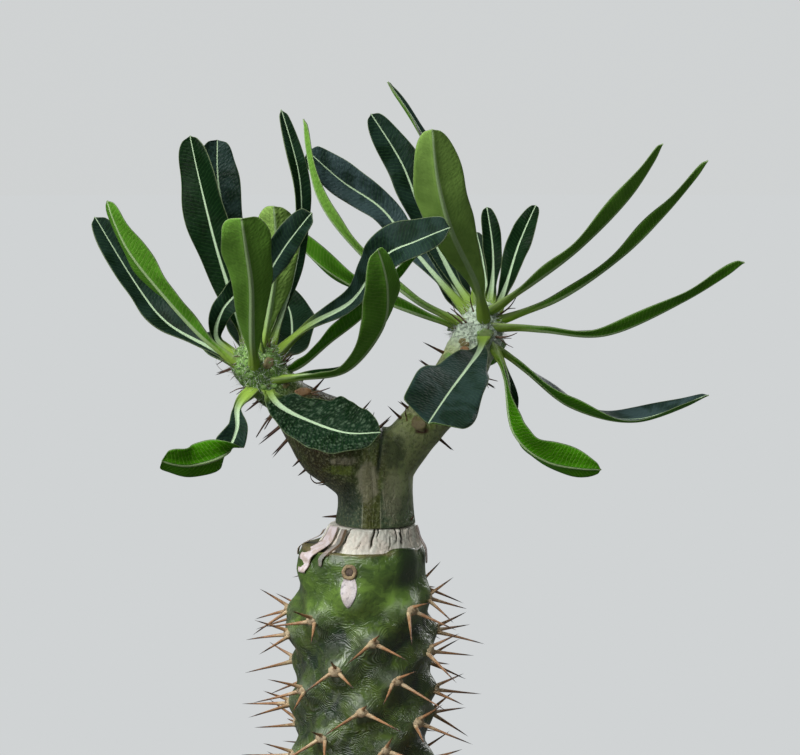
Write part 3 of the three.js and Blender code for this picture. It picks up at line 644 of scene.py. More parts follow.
def stretched(tree, place, scales):
    """Coordinates that run faster or slower along each axis."""
    return put(tree, "Mapping", {"Vector": place, "Scale": scales}).outputs[0]


def parts(tree, vector):
    return put(tree, "SeparateXYZ", {0: vector}).outputs


def marks_of(tree, name):
    """The three values that a mesh carries under a name."""
    return parts(tree, put(tree, "Attribute", {}, attribute_name=name).outputs["Vector"])


def darker(shade_of, share):
    return [share * value for value in shade_of[:3]] + [1.0]


def node_group(name, inputs, outputs, build):
    """A shader node group with named sockets; build(tree, inputs) gives the outputs in order."""
    if name in bpy.data.node_groups:
        return bpy.data.node_groups[name]
    tree = bpy.data.node_groups.new(name, "ShaderNodeTree")
    for label, kind, default in inputs:
        socket = tree.interface.new_socket(name=label, in_out="INPUT", socket_type="NodeSocket" + kind)
        if default is not None:
            socket.default_value = default
    for label, kind in outputs:
        tree.interface.new_socket(name=label, in_out="OUTPUT", socket_type="NodeSocket" + kind)
    entry = tree.nodes.new("NodeGroupInput")
    leave = tree.nodes.new("NodeGroupOutput")
    for index, value in enumerate(build(tree, entry.outputs)):
        tree.links.new(value, leave.inputs[index])
    return tree


def use_group(tree, group, inputs):
    node = tree.nodes.new("ShaderNodeGroup")
    node.node_tree = group
    feed(tree, node, inputs)
    return node.outputs


def blotches_group():
    """Soft patches of noise, from 0 to 1."""
    def build(tree, entry):
        warped = put(tree, "TexNoise", {"Vector": entry["Place"], "Scale": entry["Scale"], "Detail": 4.0,
                                        "Distortion": entry["Warp"]})
        return [ramp(tree, warped.outputs[0], entry["Low"], entry["High"])]
    inputs = (("Place", "Vector", None), ("Scale", "Float", 100.0), ("Low", "Float", 0.4),
              ("High", "Float", 0.6), ("Warp", "Float", 0.4))
    return node_group("Blotches", inputs, (("Mask", "Float"),), build)


def blotches(tree, place, scale, low=0.4, high=0.6, warp=0.4):
    inputs = {"Place": place, "Scale": scale, "Low": low, "High": high, "Warp": warp}
    return use_group(tree, blotches_group(), inputs)[0]


def crackle_group():
    """Fine lines between cells, as in dry or wrinkled skin: their mask and a height."""
    def build(tree, entry):
        drift = put(tree, "TexNoise", {"Vector": entry["Place"], "Scale": entry["Warp Scale"], "Detail": 3.0})
        centred = put(tree, "VectorMath", {0: drift.outputs[1], 1: (-0.5, -0.5, -0.5)}, operation="ADD")
        moved = put(tree, "VectorMath", {0: centred.outputs[0], "Scale": entry["Warp"]}, operation="SCALE")
        warped = put(tree, "VectorMath", {0: entry["Place"], 1: moved.outputs[0]}, operation="ADD")
        cells = put(tree, "TexVoronoi", {"Vector": warped.outputs[0], "Scale": entry["Scale"]},
                    feature="DISTANCE_TO_EDGE")
        line = ramp(tree, cells.outputs[0], 0.0, entry["Width"], 1.0, 0.0)
        height = ramp(tree, cells.outputs[0], 0.0, 0.35)
        return [line, height]
    inputs = (("Place", "Vector", None), ("Scale", "Float", 400.0), ("Width", "Float", 0.08),
              ("Warp", "Float", 0.002), ("Warp Scale", "Float", 150.0))
    return node_group("Crackle", inputs, (("Line", "Float"), ("Height", "Float")), build)


def grain_group():
    """Fine grain in two sizes, as a height."""
    def build(tree, entry):
        coarse = cloud(tree, entry["Place"], entry["Scale"], 5.0)
        fine = cloud(tree, entry["Place"], times(tree, entry["Scale"], 3.7), 2.0)
        return [maths(tree, "ADD", coarse, times(tree, fine, 0.4))]
    inputs = (("Place", "Vector", None), ("Scale", "Float", 600.0))
    return node_group("Grain", inputs, (("Height", "Float"),), build)


def fine_grain(tree, place, scale):
    return use_group(tree, grain_group(), {"Place": place, "Scale": scale})[0]


def new_material(name):
    """An empty material, its tree, its Principled shader and the object's coordinates."""
    material = bpy.data.materials.new(name)
    material.use_nodes = True
    tree = material.node_tree
    tree.nodes.clear()
    shader = tree.nodes.new("ShaderNodeBsdfPrincipled")
    output = tree.nodes.new("ShaderNodeOutputMaterial")
    tree.links.new(shader.outputs[0], output.inputs[0])
    place = put(tree, "TexCoord", {}).outputs["Object"]
    return material, tree, shader, place


def finish_shader(tree, shader, base, roughness, height=None, depth=0.0002, gloss=0.5):
    """Gives the shader its colour, its roughness, its gloss and a bump of a depth in metres."""
    feed(tree, shader, {"Base Color": base, "Roughness": roughness, "Specular IOR Level": gloss})
    if height is not None:
        bump = put(tree, "Bump", {"Height": height, "Distance": depth, "Strength": 1.0})
        tree.links.new(bump.outputs[0], shader.inputs["Normal"])


def leaf_material():
    """Blades: dark above and light below, with a pale midrib, side veins and a green stalk. Painted bluish
    sheen and painted glints lie on the upper face, and painted light from behind lightens some under faces.
    """
    look = settings().leaves
    material, tree, shader, place = new_material("leaf_blade")
    across, along, face = marks_of(tree, "blade")
    edge, share, half = marks_of(tree, "blade_shape")
    # The tone values are painted bluish sheen, painted light from behind, and relief.
    bloom, light, relief = marks_of(tree, "blade_sheen_backlight_relief")
    upper = ramp(tree, face, -0.4, 0.4)
    distance = maths(tree, "ABSOLUTE", across)
    drift = cloud(tree, place, 160.0, 2.0)
    shifted = add_times(tree, distance, -0.55, along)
    wandering = add_times(tree, drift, 2.4, shifted)
    phase = maths(tree, "DIVIDE", wandering, look.vein_spacing / MM)
    vein = ramp(tree, maths(tree, "PINGPONG", phase, 0.5), 0.02, 0.12, 1.0, 0.0)
    near_stalk = ramp(tree, share, 0.08, 0.5, 0.85, 0.0)
    rib_half = maths(tree, "ADD", near_stalk, ramp(tree, share, 0.0, 1.0, 0.74, 0.2))
    under_half = add_times(tree, near_stalk, 0.5, ramp(tree, share, 0.3, 1.0, 1.0, 0.4))
    rib_half = blend_value(tree, upper, under_half, rib_half)
    rib_half = times(tree, rib_half, add_times(tree, half, 0.04, 0.7))
    rib = ramp(tree, maths(tree, "SUBTRACT", distance, rib_half), -0.14, 0.14, 1.0, 0.0)
    patches = blotches(tree, place, 130.0, 0.35, 0.7)
    grid = put(tree, "CombineXYZ", {0: maths(tree, "DIVIDE", across, look.vein_spacing / MM), 1: phase})
    cells = put(tree, "TexVoronoi", {"Vector": grid.outputs[0], "Scale": 1.0, "Randomness": 0.75},
                voronoi_dimensions="2D").outputs[0]
    dome = ramp(tree, cells, 0.1, 0.62, 1.0, 0.0)
    dark = blend(tree, patches, look.upper, darker(look.upper, 0.6))
    dark = tinge(tree, dark, vein, 0.3, tint(48, 82, 40))
    # Painted highlights: glints on the blisters of the roughest leaves.
    glints = blotches(tree, place, 620.0, 0.42, 0.66)
    painted_blister_glint = times(tree, dome, times(tree, glints, ramp(tree, relief, 0.7, 1.5, 0.0, 0.5)))
    dark = blend(tree, painted_blister_glint, dark, tint(98, 120, 94))
    # Painted reflection: a bluish sheen of the lights laid on the upper face, by each leaf's first tone
    # value.
    painted_leaf_sheen = times(tree, bloom, ramp(tree, patches, 0.0, 1.0, 0.4, 0.12))
    dark = blend(tree, painted_leaf_sheen, dark, look.bloom)
    # Painted light: under faces of leaves with a high second tone value look lit through from behind.
    pale = blend(tree, light, look.under, look.light)
    pale = tinge(tree, pale, patches, 0.3, tint(44, 82, 14))
    pale = tinge(tree, pale, vein, 0.4, tint(136, 168, 84))
    body = blend(tree, upper, pale, dark)
    rib_tone = blend(tree, upper, tint(160, 188, 132), look.rib)
    rib_tone = blend(tree, ramp(tree, share, 0.08, 0.3, 1.0, 0.0), rib_tone, look.stalk)
    rib_tone = tinge(tree, rib_tone, vein, 0.14, look.upper)
    body = blend(tree, rib, body, rib_tone)
    stalk = ramp(tree, share, 0.08, 0.24, 1.0, 0.0)
    foot = blend(tree, ramp(tree, share, 0.0, 0.05), tint(108, 142, 72), look.stalk)
    body = tinge(tree, body, stalk, 0.9, foot)
    margin_gap = times(tree, one_less(tree, maths(tree, "ABSOLUTE", edge)), half)
    margin = ramp(tree, margin_gap, 0.08, 0.3, 0.5, 0.0)
    body = blend(tree, margin, body, tint(128, 142, 104))
    rough = ramp(tree, upper, 0.0, 1.0, 0.6, 0.42)
    rough = add_times(tree, rib, 0.12, rough)
    swell = cloud(tree, place, 210.0, 1.0)
    bumps = times(tree, dome, relief)
    height = add_times(tree, swell, ramp(tree, relief, 0.0, 0.4, 0.0, 0.9), bumps)
    height = times(tree, height, one_less(tree, rib))
    finish_shader(tree, shader, body, rough, height, 0.00018, 0.06)
    return material


def thorn_material(name, foot, middle, tip):
    """Thorns that darken from their feet to their tips."""
    material, tree, shader, place = new_material(name)
    share = marks_of(tree, "spike")[0]
    patches = blotches(tree, place, 420.0)
    moved = add_times(tree, patches, 0.16, share)
    base = blend(tree, ramp(tree, moved, 0.12, 0.55), foot, middle)
    base = blend(tree, ramp(tree, moved, 0.6, 1.0), base, tip)
    grain = fine_grain(tree, place, 1400.0)
    finish_shader(tree, shader, base, 0.5, grain, 0.00008)
    return material


def folds_group():
    """Fine parallel folds that flow round each other, as in shrunken skin."""
    def build(tree, entry):
        drift = cloud(tree, entry["Place"], entry["Drift Scale"], 1.0)
        level = add_times(tree, drift, entry["Drift"], parts(tree, entry["Place"])[2])
        level = maths(tree, "ADD", level, entry["Level"])
        phase = maths(tree, "DIVIDE", level, entry["Spacing"])
        return [ramp(tree, maths(tree, "PINGPONG", phase, 0.5), 0.05, 0.42)]
    inputs = (("Place", "Vector", None), ("Level", "Float", 0.0), ("Spacing", "Float", 0.0007),
              ("Drift", "Float", 0.006), ("Drift Scale", "Float", 110.0))
    return node_group("Folds", inputs, (("Height", "Float"),), build)


def skin_material():
    """Rootstock: yellow-green and dark green mottled skin with fine folds. Painted shade darkens the grooves
    between the tubercles, painted sheen lies on the crests and round the areoles, and the folds have painted
    highlights on their crests and painted shade in their troughs.
    """
    look = settings().stock
    material, tree, shader, place = new_material("rootstock_skin")
    relief, youth, ring = marks_of(tree, "skin")
    lobe, edge, _ = marks_of(tree, "skin_top")
    blotch = blotches(tree, place, 120.0, 0.42, 0.58, 1.2)
    small = blotches(tree, place, 420.0, 0.46, 0.62, 0.5)
    wide = blotches(tree, place, 62.0, 0.44, 0.58, 1.2)
    old = one_less(tree, youth)
    # Painted shade: the skin darkens in the grooves between the tubercles, on top of the real dark mottling
    # and lobe.
    low = ramp(tree, relief, 0.05, 0.5, 1.0, 0.0)
    groove_shade_and_mottling = add_times(tree, low, 0.7, times(tree, blotch, 0.58))
    groove_shade_and_mottling = times(tree, groove_shade_and_mottling, ramp(tree, youth, 0.0, 1.0, 1.0, 0.55))
    groove_shade_and_mottling = maths(tree, "MAXIMUM", groove_shade_and_mottling, times(tree, lobe, 0.85), clamp=True)
    base = blend(tree, groove_shade_and_mottling, blend(tree, youth, look.light, look.young), look.dark)
    base = tinge(tree, base, small, 0.35, tint(44, 72, 26))
    rise = times(tree, relief, 0.009)
    folds = use_group(tree, folds_group(), {"Place": place, "Level": rise})[0]
    cross = use_group(tree, folds_group(), {"Place": place, "Level": times(tree, rise, -1.6),
                                            "Spacing": 0.0006, "Drift": 0.004})[0]
    fold = blend_value(tree, wide, folds, cross)
    broken = ramp(tree, small, 0.0, 1.0, 0.75, 0.2)
    worn = times(tree, ramp(tree, wide, 0.0, 1.0, 0.35, 1.0), old)
    # Painted sheen: a silvery highlight on the tubercles' crests and round each areole.
    painted_sheen_mask = times(tree, ramp(tree, relief, 0.45, 0.95), times(tree, worn, 0.3))
    painted_sheen_mask = add_times(tree, ring, 0.45, painted_sheen_mask, clamp=True)
    base = tinge(tree, base, painted_sheen_mask, ramp(tree, small, 0.0, 1.0, 0.9, 0.5), look.painted_sheen_colour)
    # Painted highlight on the fold crests, and painted shade in the fold troughs.
    crest = ramp(tree, fold, 0.5, 0.95)
    shown = times(tree, worn, broken)
    base = tinge(tree, base, crest, times(tree, shown, 0.42), tint(164, 178, 156))
    painted_fold_shade = ramp(tree, fold, 0.4, 0.05)
    base = tinge(tree, base, painted_fold_shade, times(tree, shown, 0.4), tint(16, 32, 18))
    base = tinge(tree, base, edge, 0.4, tint(150, 116, 90))
    height = times(tree, fold, add_times(tree, shown, 1.0, 0.06))
    height = add_times(tree, small, -0.2, height)
    rough = ramp(tree, painted_sheen_mask, 0.0, 1.0, 0.3, 0.5)
    finish_shader(tree, shader, base, rough, height, 0.0004, 0.65)
    return material


def cork_material():
    """Graft callus: cream cork with tan patches and dark cracks."""
    look = settings().stock
    material, tree, shader, place = new_material("graft_cork")
    crack, lip, _ = marks_of(tree, "cork")
    patches = blotches(tree, place, 150.0, 0.46, 0.66, 0.8)
    specks = blotches(tree, place, 900.0, 0.54, 0.74, 0.2)
    upright = stretched(tree, place, (1.0, 1.0, 0.4))
    lines = use_group(tree, crackle_group(), {"Place": upright, "Scale": 260.0, "Width": 0.03,
                                              "Warp": 0.004, "Warp Scale": 260.0})
    base = blend(tree, times(tree, patches, 0.5), look.cork, look.cork_shade)
    base = tinge(tree, base, specks, 0.22, tint(160, 138, 112))
    base = tinge(tree, base, lines[0], 0.2, look.crack)
    base = tinge(tree, base, lip, 0.5, tint(240, 238, 226))
    base = blend(tree, ramp(tree, crack, 0.45, 0.9), base, look.crack)
    grain = fine_grain(tree, place, 900.0)
    height = add_times(tree, grain, 0.5, times(tree, lines[1], 0.4))
    finish_shader(tree, shader, base, 0.75, height, 0.0003)
    return material


def flap_material():
    """Dry bark that peels: pinkish grey, with brown edges."""
    look = settings().stock
    material, tree, shader, place = new_material("peeling_bark")
    edge, _, tone = marks_of(tree, "flap")
    patches = blotches(tree, place, 260.0, warp=0.7)
    pink = blend(tree, patches, tint(206, 188, 180), tint(226, 214, 216))
    grey = blend(tree, patches, look.flap, tint(138, 138, 130))
    base = blend(tree, ramp(tree, tone, 0.0, 0.6), pink, grey)
    base = blend(tree, ramp(tree, tone, 0.6, 1.0), base, tint(96, 74, 48))
    base = blend(tree, ramp(tree, maths(tree, "ABSOLUTE", edge), 0.8, 1.0), base, tint(146, 130, 112))
    grain = fine_grain(tree, place, 1100.0)
    finish_shader(tree, shader, base, 0.8, grain, 0.0002)
    return material


def scar_material(name, base_colour, spot_colour, roughness):
    """Dry scars: one colour with spots of another."""
    material, tree, shader, place = new_material(name)
    spots = blotches(tree, place, 620.0, 0.5, 0.68, 0.4)
    wide = blotches(tree, place, 220.0)
    base = blend(tree, times(tree, spots, 0.8), base_colour, spot_colour)
    base = tinge(tree, base, wide, 0.25, tint(168, 148, 128))
    grain = fine_grain(tree, place, 1200.0)
    finish_shader(tree, shader, base, roughness, grain, 0.0002)
    return material


# Lines of the trunk as angles in degrees from the front towards +X
TRUNK_LINES = (-19, 8, 74, 128, -160, -102)


def bark_material():
    """Scion: olive bark with upright streaks, thin pale lines and green heads. Painted shade darkens the
    groove and patches beside it, and painted highlights lie on some pale spots and on the lighter right side.
    """
    look = settings().scion
    material, tree, shader, place = new_material("scion_bark")
    x, y, z = parts(tree, place)
    bud, fork, groove = marks_of(tree, "bark")
    pale, fresh, brown = marks_of(tree, "bark_spots_and_highlights")
    patches = blotches(tree, place, 75.0, 0.4, 0.62, 0.9)
    upright = stretched(tree, place, (1.0, 1.0, 0.16))
    streaks = blotches(tree, upright, 210.0, 0.42, 0.6, 0.5)
    specks = blotches(tree, place, 1300.0, 0.5, 0.64, 0.0)
    base = blend(tree, add_times(tree, fork, 0.45, times(tree, patches, 0.5), clamp=True),
                 look.bark, look.green)
    base = tinge(tree, base, streaks, 0.8, tint(70, 68, 24))
    angle = maths(tree, "ARCTAN2", maths(tree, "SUBTRACT", x, 4.8 * MM), times(tree, y, -1.0))
    left = ramp(tree, x, 0.002, -0.006)
    side = times(tree, left, ramp(tree, patches, 0.0, 1.0, 0.95, 0.5))
    base = blend(tree, side, base, look.brown)
    # The right side is lighter: partly paler bark, partly a painted highlight.
    right = times(tree, ramp(tree, x, 0.006, 0.013), ramp(tree, patches, 0.0, 1.0, 0.85, 0.45))
    base = blend(tree, right, base, tint(192, 206, 142))
    middle = times(tree, ramp(tree, angle, -0.34, -0.3), ramp(tree, angle, 0.13, 0.17, 1.0, 0.0))
    damp = times(tree, ramp(tree, z, 0.231, 0.213), one_less(tree, middle))
    base = tinge(tree, base, damp, 0.6, tint(66, 92, 76))
    olive = times(tree, middle, ramp(tree, z, 0.244, 0.232))
    base = tinge(tree, base, olive, 0.5, tint(100, 104, 44))
    base = tinge(tree, base, specks, 0.4, tint(160, 162, 122))
    pores = blotches(tree, place, 760.0, 0.5, 0.62, 0.2)
    base = tinge(tree, base, pores, 0.3, tint(26, 36, 12))
    nearest = 1.0
    for degrees in TRUNK_LINES:
        turn = maths(tree, "SUBTRACT", angle, math.radians(degrees))
        nearest = maths(tree, "MINIMUM", nearest, maths(tree, "ABSOLUTE", turn))
    line = ramp(tree, nearest, 0.008, 0.022, 1.0, 0.0)
    line = times(tree, line, ramp(tree, z, 0.214, 0.224, 0.55, 0.0))
    base = blend(tree, line, base, tint(186, 188, 160))
    # Pale spots: partly pale bark, partly painted highlights.
    ragged = ramp(tree, streaks, 0.0, 1.0, 0.7, 0.35)
    base = tinge(tree, base, pale, ragged, tint(172, 166, 140))
    base = tinge(tree, base, fresh, ragged, tint(112, 130, 48))
    base = blend(tree, brown, base, tint(70, 44, 30))
    # Painted shade in the groove and in the dark patches beside it and under the branches.
    base = tinge(tree, base, groove, 0.85, tint(20, 36, 22))
    fuzz = blotches(tree, place, 1900.0, 0.54, 0.66, 0.3)
    head = blend(tree, ramp(tree, x, 0.0, 0.03), look.head, tint(212, 230, 212))
    base = tinge(tree, base, bud, ramp(tree, patches, 0.0, 1.0, 1.0, 0.8), head)
    downy = times(tree, bud, ramp(tree, x, 0.0, 0.03, 0.5, 0.25))
    base = tinge(tree, base, pores, downy, tint(48, 86, 30))
    base = tinge(tree, base, fuzz, times(tree, bud, 0.6), tint(196, 212, 176))
    grain = fine_grain(tree, place, 900.0)
    height = add_times(tree, streaks, 0.8, grain)
    height = add_times(tree, pores, add_times(tree, bud, -1.5, -0.5), height)
    rough = ramp(tree, bud, 0.0, 1.0, 0.3, 0.6)
    finish_shader(tree, shader, base, rough, height, 0.0004, 0.35)
    return material


def fibre_material(name, base_colour, roughness):
    material, tree, shader, place = new_material(name)
    patches = blotches(tree, place, 300.0)
    finish_shader(tree, shader, blend(tree, patches, base_colour, darker(base_colour, 0.6)), roughness)
    return material


def clay_material():
    """Fired clay with throwing lines, damp patches and lime bloom."""
    look = settings().pot
    material, tree, shader, place = new_material("pot_clay")
    patches = blotches(tree, place, 26.0, 0.4, 0.64, 0.8)
    bloom = blotches(tree, place, 30.0, 0.42, 0.8, 0.25)
    specks = blotches(tree, place, 900.0, 0.56, 0.7, 0.0)
    turns = cloud(tree, stretched(tree, place, (0.06, 0.06, 1.0)), 320.0, 3.0)
    base = blend(tree, times(tree, patches, 0.6), look.clay, look.clay_dark)
    rim = times(tree, ramp(tree, parts(tree, place)[2], 0.06, 0.098), 0.35)
    lime = times(tree, bloom, maths(tree, "ADD", rim, 0.3))
    base = blend(tree, lime, base, look.bloom)
    base = tinge(tree, base, specks, 0.25, tint(92, 54, 38))
    grain = fine_grain(tree, place, 700.0)
    height = add_times(tree, turns, 1.6, times(tree, grain, 0.5))
    finish_shader(tree, shader, base, 0.82, height, 0.00035)
    return material


def soil_material():
    """Dark, damp fine soil between the grit."""
    look = settings().pot
    material, tree, shader, place = new_material("potting_soil")
    patches = blotches(tree, place, 210.0, 0.35, 0.65)
    specks = blotches(tree, place, 1100.0, 0.55, 0.66, 0.0)
    base = blend(tree, patches, look.soil, darker(look.soil, 0.45))
    base = tinge(tree, base, specks, 0.6, tint(168, 152, 124))
    grain = fine_grain(tree, place, 450.0)
    finish_shader(tree, shader, base, 0.95, grain, 0.0012)
    return material


def stone_material():
    """Grit: pale pumice and red-brown lava, each stone with its own tone."""
    look = settings().pot
    material, tree, shader, place = new_material("grit_stone")
    kind, tone, _ = marks_of(tree, "stone")
    base = blend(tree, ramp(tree, kind, 0.6, 0.64), look.stone, look.stone_red)
    base = blend(tree, ramp(tree, kind, 0.86, 0.88), base, tint(70, 64, 58))
    base = tinge(tree, base, tone, 0.5, tint(104, 92, 76))
    pits = use_group(tree, crackle_group(), {"Place": place, "Scale": 1500.0, "Width": 0.25, "Warp": 0.0006})
    base = tinge(tree, base, pits[0], 0.25, tint(70, 58, 48))
    finish_shader(tree, shader, base, 0.9, pits[1], 0.0003)
    return material


# Pot and soil


def pot_inside(height):
    """The radius of the pot's inside wall at a height."""
    low = (POT_FLOOR, POT_BASE_RADIUS - POT_WALL)
    middle = (BAND_FOOT - POT_ROUNDING, BODY_RADIUS - POT_WALL)
    high = (POT_HEIGHT - POT_ROUNDING, POT_RIM_RADIUS - POT_WALL - POT_TAPER)
    first, second = (low, middle) if height < middle[0] else (middle, high)
    return mix(first[1], second[1], (height - first[0]) / (second[0] - first[0]))


def spin_profile(profile, steps, rounding=0, closed=False):
    """Turns a row of (radius, height) points about +Z: from axis to axis, or closed as a ring."""
    bm = bmesh.new()
    verts = [bm.verts.new((radius, 0, height)) for radius, height in profile]
    for first, second in zip(verts, verts[1:] + verts[:closed]):
        bm.edges.new((first, second))
    if rounding:
        bmesh.ops.bevel(bm, geom=verts[1:-1], offset=rounding, segments=3, profile=0.5,
                        affect="VERTICES", material=-1)
    bmesh.ops.spin(bm, geom=bm.verts[:] + bm.edges[:], axis=(0, 0, 1), cent=(0, 0, 0), dvec=(0, 0, 0),
                   angle=2 * math.pi, steps=steps, use_merge=True)
    bmesh.ops.remove_doubles(bm, verts=bm.verts[:], dist=0.001)
    turn_out(bm)
    return bm


class PACHYPODIUM_OT_pot(bpy.types.Operator):
    """Make the clay pot, with a banded rim and drain holes"""
    bl_idname = "pachypodium.pot"
    bl_label = "Pot"

    def execute(self, context):
        band = BAND_FOOT - POT_ROUNDING
        profile = [
            (0, 0), (POT_BASE_RADIUS - 0.2, 0), (BODY_RADIUS, band), (POT_RIM_RADIUS - 0.3, BAND_FOOT + 0.4),
            (POT_RIM_RADIUS + 0.4, POT_HEIGHT - 0.2), (POT_RIM_RADIUS - POT_WALL - 0.6, POT_HEIGHT - 0.2),
            (BODY_RADIUS - POT_WALL, band), (POT_BASE_RADIUS - POT_WALL, POT_FLOOR), (0, POT_FLOOR),
        ]
        bm = spin_profile(profile, 128, rounding=1.1)
        holes = bmesh.new()
        for hole in range(DRAIN_HOLES):
            angle = 2 * math.pi * hole / DRAIN_HOLES
            place = (DRAIN_RING_RADIUS * math.cos(angle), DRAIN_RING_RADIUS * math.sin(angle), 0)
            bmesh.ops.create_cone(holes, cap_ends=True, segments=32, radius1=DRAIN_RADIUS,
                                  radius2=DRAIN_RADIUS, depth=4 * POT_FLOOR,
                                  matrix=Matrix.Translation(place))
        pot = make_piece("pot_clay_body", bm, clay_material(), ["pot"])
        bmesh.ops.scale(holes, vec=(MM, MM, MM), verts=holes.verts[:])
        cutter = add_object("drain_cutter", to_mesh("drain_cutter", holes))
        cut = pot.modifiers.new("drain", "BOOLEAN")
        cut.object = cutter
        cut.operation = "DIFFERENCE"
        cut.solver = "EXACT"
        bake_modifiers(pot)
        bpy.data.objects.remove(cutter)
        pot.data.set_sharp_from_angle(angle=math.radians(38))
        return {"FINISHED"}


# The least and the most that a stone is squashed along its three axes
STONE_SQUASH = ((0.75, 1.1), (0.7, 1.0), (0.5, 0.8))


class PACHYPODIUM_OT_soil(bpy.types.Operator):
    """Make the soil and the grit that lies on it"""
    bl_idname = "pachypodium.soil"
    bl_label = "Soil"

    def execute(self, context):
        look = settings().pot
        bottom = POT_FLOOR + CLEARANCE
        band = BAND_FOOT - POT_ROUNDING
        outer = pot_inside(SOIL_TOP) - CLEARANCE
        mouth = STOCK_RADIUS + CLEARANCE
        foot_end = SOIL_TOP - FOOT_DEPTH - CLEARANCE
        profile = [(0, bottom)]
        profile += [(pot_inside(height) - CLEARANCE, height) for height in (bottom, band)]
        profile += [(mix(outer, mouth, ring / SOIL_RINGS), SOIL_TOP) for ring in range(SOIL_RINGS + 1)]
        profile += [(FOOT_END_RADIUS + CLEARANCE, foot_end), (0, foot_end)]
        bm = spin_profile(profile, 120)
        for vert in bm.verts:
            radius = math.hypot(vert.co.x, vert.co.y)
            if vert.co.z > SOIL_TOP - 0.1 and mouth + 1 < radius < outer - 0.5:
                rough = noise.noise(vert.co * 0.35) + 0.6 * noise.noise(vert.co * 0.9)
                hollow = smoothstep(radius, mouth + 1, mouth + 5)
                vert.co.z += 0.75 * rough * hollow + 0.2
        make_piece("soil_surface", bm, soil_material(), ["soil"])
        stones = bmesh.new()
        tone = stones.verts.layers.float_vector.new("stone")
        random = seeded_random(11)
        size = look.grit / MM
        for _ in range(look.stones):
            angle = 2 * math.pi * next(random)
            radius = math.sqrt(mix((mouth + 3) ** 2, (outer - 2.2) ** 2, next(random)))
            kind, shade, spread = next(random), next(random), next(random)
            scale = size * mix(0.35, 0.85, spread ** 2)
            verts = bmesh.ops.create_icosphere(stones, subdivisions=1, radius=scale)["verts"]
            turn = Matrix.Rotation(6.3 * next(random), 3, (next(random), next(random), 0.5))
            squash = Vector([mix(low, high, next(random)) for low, high in STONE_SQUASH])
            level = SOIL_TOP + 0.3 * scale + 0.3
            place = Vector((radius * math.cos(angle), radius * math.sin(angle), level))
            for vert in verts:
                jag = 1 + 0.3 * (next(random) - 0.5)
                vert.co = place + turn @ (vert.co * jag * squash)
                vert[tone] = (kind, shade, 0)
        make_piece("soil_grit", stones, stone_material(), smooth=False)
        return {"FINISHED"}


# Rootstock


def list_tubercles():
    """(angle, height, rise, index) of each tubercle, angles from the front towards +X."""
    tubercles = []
    random = seeded_random(31)
    shifts = dict(TUBERCLE_SHIFTS)
    index = 0
    while FIRST_HEIGHT - STEP_DOWN * index > SOIL_TOP + LOWEST_TUBERCLE:
        angle = math.radians(FIRST_ANGLE + GOLDEN_ANGLE * index + ANGLE_SCATTER * (next(random) - 0.5))
        on_spiral = FIRST_HEIGHT - STEP_DOWN * index + HEIGHT_SCATTER * (next(random) - 0.5)
        height = on_spiral + shifts.get(index, 0)
        full = TUBERCLE_RISE * (1 + RISE_SCATTER * (next(random) - 0.5))
        rise = full * min(1, TOP_RISE + index / RISING_TUBERCLES)
        tubercles.append((angle, height, rise, index))
        index += 1
    return tubercles


TUBERCLES = list_tubercles()


def stock_relief(angle, height):
    """How far the tubercles rise at a place of the column."""
    total = 0.0
    for centre, level, rise, _ in TUBERCLES:
        up = height - level
        if abs(up) < 24:
            turn = math.remainder(angle - centre, 2 * math.pi)
            across = turn * STOCK_RADIUS / TUBERCLE_WIDTH
            along = up / (TUBERCLE_ABOVE if up > 0 else TUBERCLE_BELOW)
            total += rise * math.exp(-0.5 * (across * across + along * along))
    fade = smoothstep(height, SOIL_TOP, SOIL_TOP + SOIL_FADE)
    return total * fade * smoothstep(GRAFT_HEIGHT - height, -1, TOP_FADE)


def stock_radius(angle, height):
    edge = smoothstep(GRAFT_HEIGHT - height, 0, EDGE_HEIGHT)
    shoulder = smoothstep(height, GRAFT_HEIGHT - SHOULDER_DEPTH, GRAFT_HEIGHT)
    waist = mix(STOCK_RADIUS, SHOULDER_RADIUS, shoulder)
    return waist - EDGE_DROP * (1 - edge) + stock_relief(angle, height)


def stock_point(angle, height, out=0.0):
    return at_angle(stock_radius(angle, height) + out, angle, height)


def wrinkles(point, height, relief):
    """Fine folds of the skin: rings between the tubercles and arches below them."""
    bend = 3.2 * noise.noise(point * 0.11) + 1.4 * noise.noise(point * 0.3)
    rings = math.sin((height + bend) * 2.9) * (1 - smoothstep(relief, 1.0, 4.0))
    lumps = noise.noise(point * 0.22) + 0.5 * noise.noise(point * 0.55)
    return 0.3 * rings + 0.75 * lumps


# How far the skin laps up over the graft, and the lobes of its top as (angle, width, swell, rise)
LIP_RISE = 1.4
LOBES = ((math.radians(44), 13, 1.3, 1.7), (math.radians(-66), 7, 0.8, 0.9))


def lobe_at(number, angle):
    """How much of a lobe stands at an angle, from 0 to 1."""
    centre, width, _, _ = LOBES[number]
    across = math.remainder(angle - centre, 2 * math.pi) * STOCK_RADIUS / width
    return math.exp(-24 * across ** 4)


